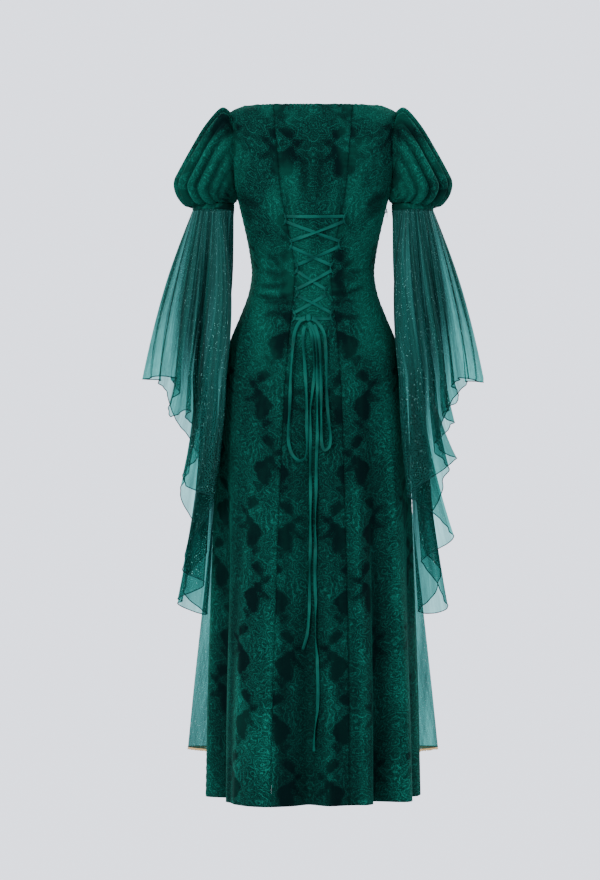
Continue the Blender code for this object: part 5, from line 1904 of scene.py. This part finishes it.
@dataclass
class Lacing:
    """The ribbon lacing, its cord loops, its knot and what hangs from it.

    twist is the greatest turn of a ribbon about its own line, twist_length the length over which it
    comes and goes, twist_fade the length near each end that stays flatter, twist_shift what sets one
    ribbon's twists off from the next one's, and slack how far a stretch sags.
    """

    form: GownForm
    ribbon: bpy.types.Material
    width: float = RIBBON_WIDTH
    thick: float = RIBBON
    twist: float = 0.95
    twist_length: float = 0.034
    twist_fade: float = 0.06
    twist_shift: float = 300.0
    slack: float = 0.0008
    knot_columns: int = 48
    knot_rows: int = 23
    knot_cut_round: float = 0.035

    def laid(self, name: str, x: np.ndarray, z: np.ndarray, lift: np.ndarray) -> bpy.types.Object:
        """Lay a ribbon on the back along a line.

        Args:
            name: The piece's name.
            x: The line's distances from the centre line.
            z: Its levels.
            lift: Its heights above the velvet.

        Returns:
            The piece.
        """
        run, rise = np.gradient(x), np.gradient(z)
        reach = self.width / 2 / np.maximum(np.hypot(run, rise), 1e-9)
        one = self.form.on_back(x - rise * reach, z + run * reach, lift)
        other = self.form.on_back(x + rise * reach, z - run * reach, lift)
        middle = self.form.on_back(x, z, lift)
        across = unit(other - one)
        out = unit(np.cross(across, unit(np.gradient(middle, axis=0))))
        out = out * np.sign(out[:, 1:2])
        centre = (one + other + middle) / 3
        walked = walked_along(centre)
        ends = smooth(0.0, self.twist_fade, walked) * smooth(0.0, self.twist_fade, walked[-1] - walked)
        phase = walked / self.twist_length + centre[0, 0] * self.twist_shift
        turn = (self.twist * ends * np.sin(phase))[:, None]
        centre = centre + out * np.abs(np.sin(turn)) * self.width / 2
        across, out = across * np.cos(turn) + out * np.sin(turn), out * np.cos(turn) - across * np.sin(turn)
        return swept(name, centre, across, out, ribbon_profile(self.width, self.thick), False, self.ribbon)

    def stretch(self, node: str, start: tuple, end: tuple, lifts: tuple) -> None:
        """Build one straight stretch of lacing.

        Args:
            node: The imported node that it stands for.
            start: Its start: distance from the centre line and level.
            end: Its end.
            lifts: Its heights above the velvet at the start, the middle and the end.
        """
        share = np.linspace(0.0, 1.0, 33)
        half = np.minimum((share * 2).astype(int), 1)
        t = share * 2 - half
        marks = np.array(lifts)
        lift = marks[half] + (marks[half + 1] - marks[half]) * t * t * (3 - 2 * t)
        x = start[0] + (end[0] - start[0]) * share
        z = start[1] + (end[1] - start[1]) * share - self.slack * np.sin(math.pi * share)
        piece = self.laid(f"{node}_ribbon", x, z, lift)
        shown(piece, node)

    def lace(self) -> None:
        """Build the top bar, the crossed stretches and the two tails that run into the knot."""
        low = LACE_GAP + self.thick / 2
        high = low + CROSS_LIFT
        left = [anchor.left - LACE_INSET for anchor in LACING]
        right = [-anchor.right + LACE_INSET for anchor in LACING]
        above = [anchor.level + LACE_DROP for anchor in LACING]
        below = [anchor.level - LACE_DROP for anchor in LACING]
        self.stretch("lace_bar", (left[0], above[0]), (right[0], above[0]), (high, high, high))
        for i in range(len(LACING) - 1):
            over, under = (high, low) if i % 2 else (low, high)
            self.stretch(f"lace_{i + 1}_down_right", (left[i], below[i]), (right[i + 1], above[i + 1]),
                         (low, over, high))
            self.stretch(f"lace_{i + 1}_down_left", (right[i], below[i]), (left[i + 1], above[i + 1]),
                         (low, under, high))
        tail_level = LACING[-1].level - TAIL_DROP
        for side, start in ((Side.LEFT, left[-1]), (Side.RIGHT, right[-1])):
            self.stretch(f"lace_tail_{side.label}", (start, tail_level),
                         (KNOT_X + side.value * KNOT_SIDE, KNOT_LEVEL), (LOW, LOW, KNOT_LIFT))

    def loops(self) -> None:
        """Build the ten cord loops sewn into the seams, arching over the ribbon."""
        seated = LACE_GAP + LOOP_RADIUS
        turn = np.linspace(0.0, math.pi, 21)
        lift = seated + (LOOP_ARCH - seated) * np.sin(turn) ** 0.7
        profile = round_profile(LOOP_RADIUS, 8)
        for row, anchor in enumerate(LACING):
            for side, x in ((Side.LEFT, anchor.left), (Side.RIGHT, -anchor.right)):
                points = self.form.on_back(x - side.value * LOOP_REACH * np.sin(turn),
                                           anchor.level + LOOP_HALF * np.cos(turn), lift)
                across, out = turned_line(points)
                node = f"lace_loop_{side.label}_{row + 1}"
                piece = swept(f"{node}_cord", points, across, out, profile, False, self.ribbon)
                shown(piece, node)

    def knot(self) -> bpy.types.Object:
        """Build the knot: a small pillow of ribbon with the wrap drawn tight across its middle.

        Returns:
            The piece.
        """
        around = np.linspace(0.0, 2 * math.pi, self.knot_columns, endpoint=False)
        rise = np.linspace(-0.5 * math.pi, 0.5 * math.pi, self.knot_rows + 2)[1:-1]
        turn, tilt = np.meshgrid(around, rise)
        centre = self.form.on_back(np.array([KNOT_X]), np.array([KNOT_LEVEL]), np.array([KNOT_LIFT]))[0]
        up = np.sin(tilt)
        wrap = 1.0 - 0.16 * bell(up / 0.18) + 0.07 * np.sin(up * 9.0 + 1.3 * np.sin(turn))
        crease = 1.0 + 0.05 * np.cos(5 * turn + 2 * up)
        places = np.stack([
            centre[0] + KNOT_HALF[0] * np.cos(tilt) * np.cos(turn) * wrap * crease,
            centre[1] + KNOT_HALF[1] * np.cos(tilt) * np.sin(turn) * wrap,
            centre[2] + KNOT_HALF[2] * up,
        ], axis=-1)
        cut = flat_grid(np.linspace(0.0, self.knot_cut_round, self.knot_columns + 1), rise * KNOT_HALF[2])
        shade_and_fullness = np.full(places.shape[:2], 0.5)
        piece = cloth_object("bow_knot_ribbon", places, cut, shade_and_fullness, True, self.ribbon, Vector(centre))
        self.close_ends(piece, self.knot_columns)
        shown(piece, "bow_knot")
        return piece

    @staticmethod
    def close_ends(piece: bpy.types.Object, sides: int) -> None:
        """Close a tube's two open ends with flat faces.

        Args:
            piece: The tube.
            sides: How many sides it has.
        """
        bpy.ops.object.select_all(action="DESELECT")
        piece.select_set(True)
        bpy.context.view_layer.objects.active = piece
        bpy.ops.object.mode_set(mode="EDIT")
        bpy.ops.mesh.select_all(action="SELECT")
        bpy.ops.mesh.fill_holes(sides=sides)
        bpy.ops.mesh.select_all(action="SELECT")
        bpy.ops.mesh.normals_make_consistent(inside=False)
        bpy.ops.object.mode_set(mode="OBJECT")
        piece.select_set(False)

    def hanging(self, hang: Hang, with_pieces: list) -> None:
        """Build a bow loop or a free end, hanging against the skirt from the knot.

        Args:
            hang: What hangs.
            with_pieces: Not used.
        """
        share = np.linspace(0.0, 1.0, 6 * hang.steps + 1)
        x, z = through(np.array(hang.route), share * (len(hang.route) - 1), False).T
        first = np.maximum(1.0 - share * hang.steps / 3, 0.0) ** 1.5
        last = np.maximum(1.0 - (1.0 - share) * hang.steps / 3, 0.0) ** 1.5
        lift = hang.lift + (hang.start_lift - hang.lift) * first + (hang.end_lift - hang.lift) * last
        piece = self.laid(f"{hang.node}_ribbon", x, z, lift)
        path = self.form.on_back(x, z, lift)
        shown(piece, hang.node)

    def build(self) -> None:
        """Build what hangs, then the lacing and its loops."""
        knot = self.knot()
        for i, hang in enumerate(HANGING):
            self.hanging(hang, [knot] if i == 0 else [])
        self.lace()
        self.loops()


@dataclass
class SideZip:
    """The zip's slider and pull tab, whose solids already have their shape."""

    metal: bpy.types.Material

    def build(self) -> None:
        """Give both metal pieces their finish."""
        for node in ("zip_slider", "zip_pull"):
            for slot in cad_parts[node].material_slots:
                slot.material = self.metal
            LOG.info("%s: lacquered", node)


# ------------------------------------------------------------------ studio
@dataclass(frozen=True)
class Softbox:
    """A soft studio lamp: where it stands, what it looks at, its side and its power in watts."""

    name: str
    place: Colour
    target: Colour
    side: float
    power: float


SOFTBOXES = (
    Softbox("key", (2.4, 3.4, 1.5), (0.0, 0.0, -0.45), 1.2, 330.0),
    Softbox("fill", (-2.8, 3.0, 0.2), (0.0, 0.0, -0.8), 2.0, 40.0),
    Softbox("back_left", (2.0, -2.4, 1.0), (0.1, 0.0, -0.5), 1.6, 90.0),
    Softbox("back_right", (-2.6, -1.4, 0.8), (-0.1, 0.0, -0.5), 1.2, 140.0),
)


@dataclass
class Studio:
    """The camera, the pale surroundings, the floor and the soft lamps."""

    scale: float = 0.0020
    frame_height: int = 880
    sensor: float = 36.0
    place: Colour = (0.026, 6.3, -0.664)
    pale: Colour = (1.960, 2.050, 2.340)
    floor_level: float = -1.60
    floor_radius: float = 3.2

    def camera(self) -> bpy.types.Object:
        """Set up the camera, straight on to the laced back.

        Returns:
            The camera.
        """
        lens = bpy.data.cameras.new("studio_camera")
        lens.sensor_width = self.sensor
        lens.lens = self.sensor * self.place[1] / (self.frame_height * self.scale)
        camera = bpy.data.objects.new("studio_camera", lens)
        camera.location = self.place
        camera.rotation_euler = (math.radians(90.0), 0.0, math.radians(180.0))
        bpy.context.scene.collection.objects.link(camera)
        bpy.context.scene.camera = camera
        return camera

    def surroundings(self) -> None:
        """Even pale light from all round."""
        world = bpy.data.worlds.new("pale_studio")
        world.use_nodes = True
        background = world.node_tree.nodes["Background"]
        background.inputs["Color"].default_value = (*self.pale, 1.0)
        background.inputs["Strength"].default_value = 1.0
        bpy.context.scene.world = world

    def floor(self) -> bpy.types.Object:
        """Lay the plain pale floor, lit evenly so that it runs into the surroundings.

        Returns:
            The floor.
        """
        look = Dressing("pale_floor")
        look.feed("Base Color", (0.01, 0.01, 0.01))
        look.feed("Roughness", 0.95)
        look.feed("Specular IOR Level", 0.0)
        look.feed("Emission Color", tuple(c / max(self.pale) for c in self.pale))
        look.feed("Emission Strength", max(self.pale) * 0.99)
        bpy.ops.object.select_all(action="DESELECT")
        bpy.ops.mesh.primitive_circle_add(vertices=96, radius=self.floor_radius, fill_type="NGON",
                                          location=(0.0, 0.0, self.floor_level))
        disc = bpy.context.object
        disc.name = "studio_floor"
        disc.data.materials.append(look.material)
        return disc

    def lamps(self) -> None:
        """The soft lamps."""
        for box in SOFTBOXES:
            lamp = bpy.data.lights.new(f"softbox_{box.name}", "AREA")
            lamp.shape = "SQUARE"
            lamp.size = box.side
            lamp.energy = box.power
            holder = bpy.data.objects.new(lamp.name, lamp)
            holder.location = box.place
            aim = Vector(box.target) - Vector(box.place)
            holder.rotation_euler = aim.to_track_quat("-Z", "Y").to_euler()
            bpy.context.scene.collection.objects.link(holder)


# ------------------------------------------------------------------ making it all
def main() -> None:
    """Build the studio and dress the gown, piece by piece."""
    logging.basicConfig(level=logging.INFO, format="%(name)s %(message)s")
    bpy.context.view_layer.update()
    studio = Studio()
    studio.camera()
    stock = Wardrobe.stocked()
    form = GownForm()
    Lacing(form, stock.ribbon).build()
    VelvetBody(form, stock.velvet).build()
    for side, drape in ((Side.LEFT, LEFT_DRAPE), (Side.RIGHT, RIGHT_DRAPE)):
        SleeveHead(form, stock.velvet, side).build()
        SheerSleeve(side, drape, stock.chiffon, stock.hem).build()
    FrontOverlay(form, stock.chiffon, stock.hem, stock.gold).build()
    SideZip(stock.zip).build()
    studio.surroundings()
    studio.floor()
    studio.lamps()


if __name__ == "__main__":
    main()
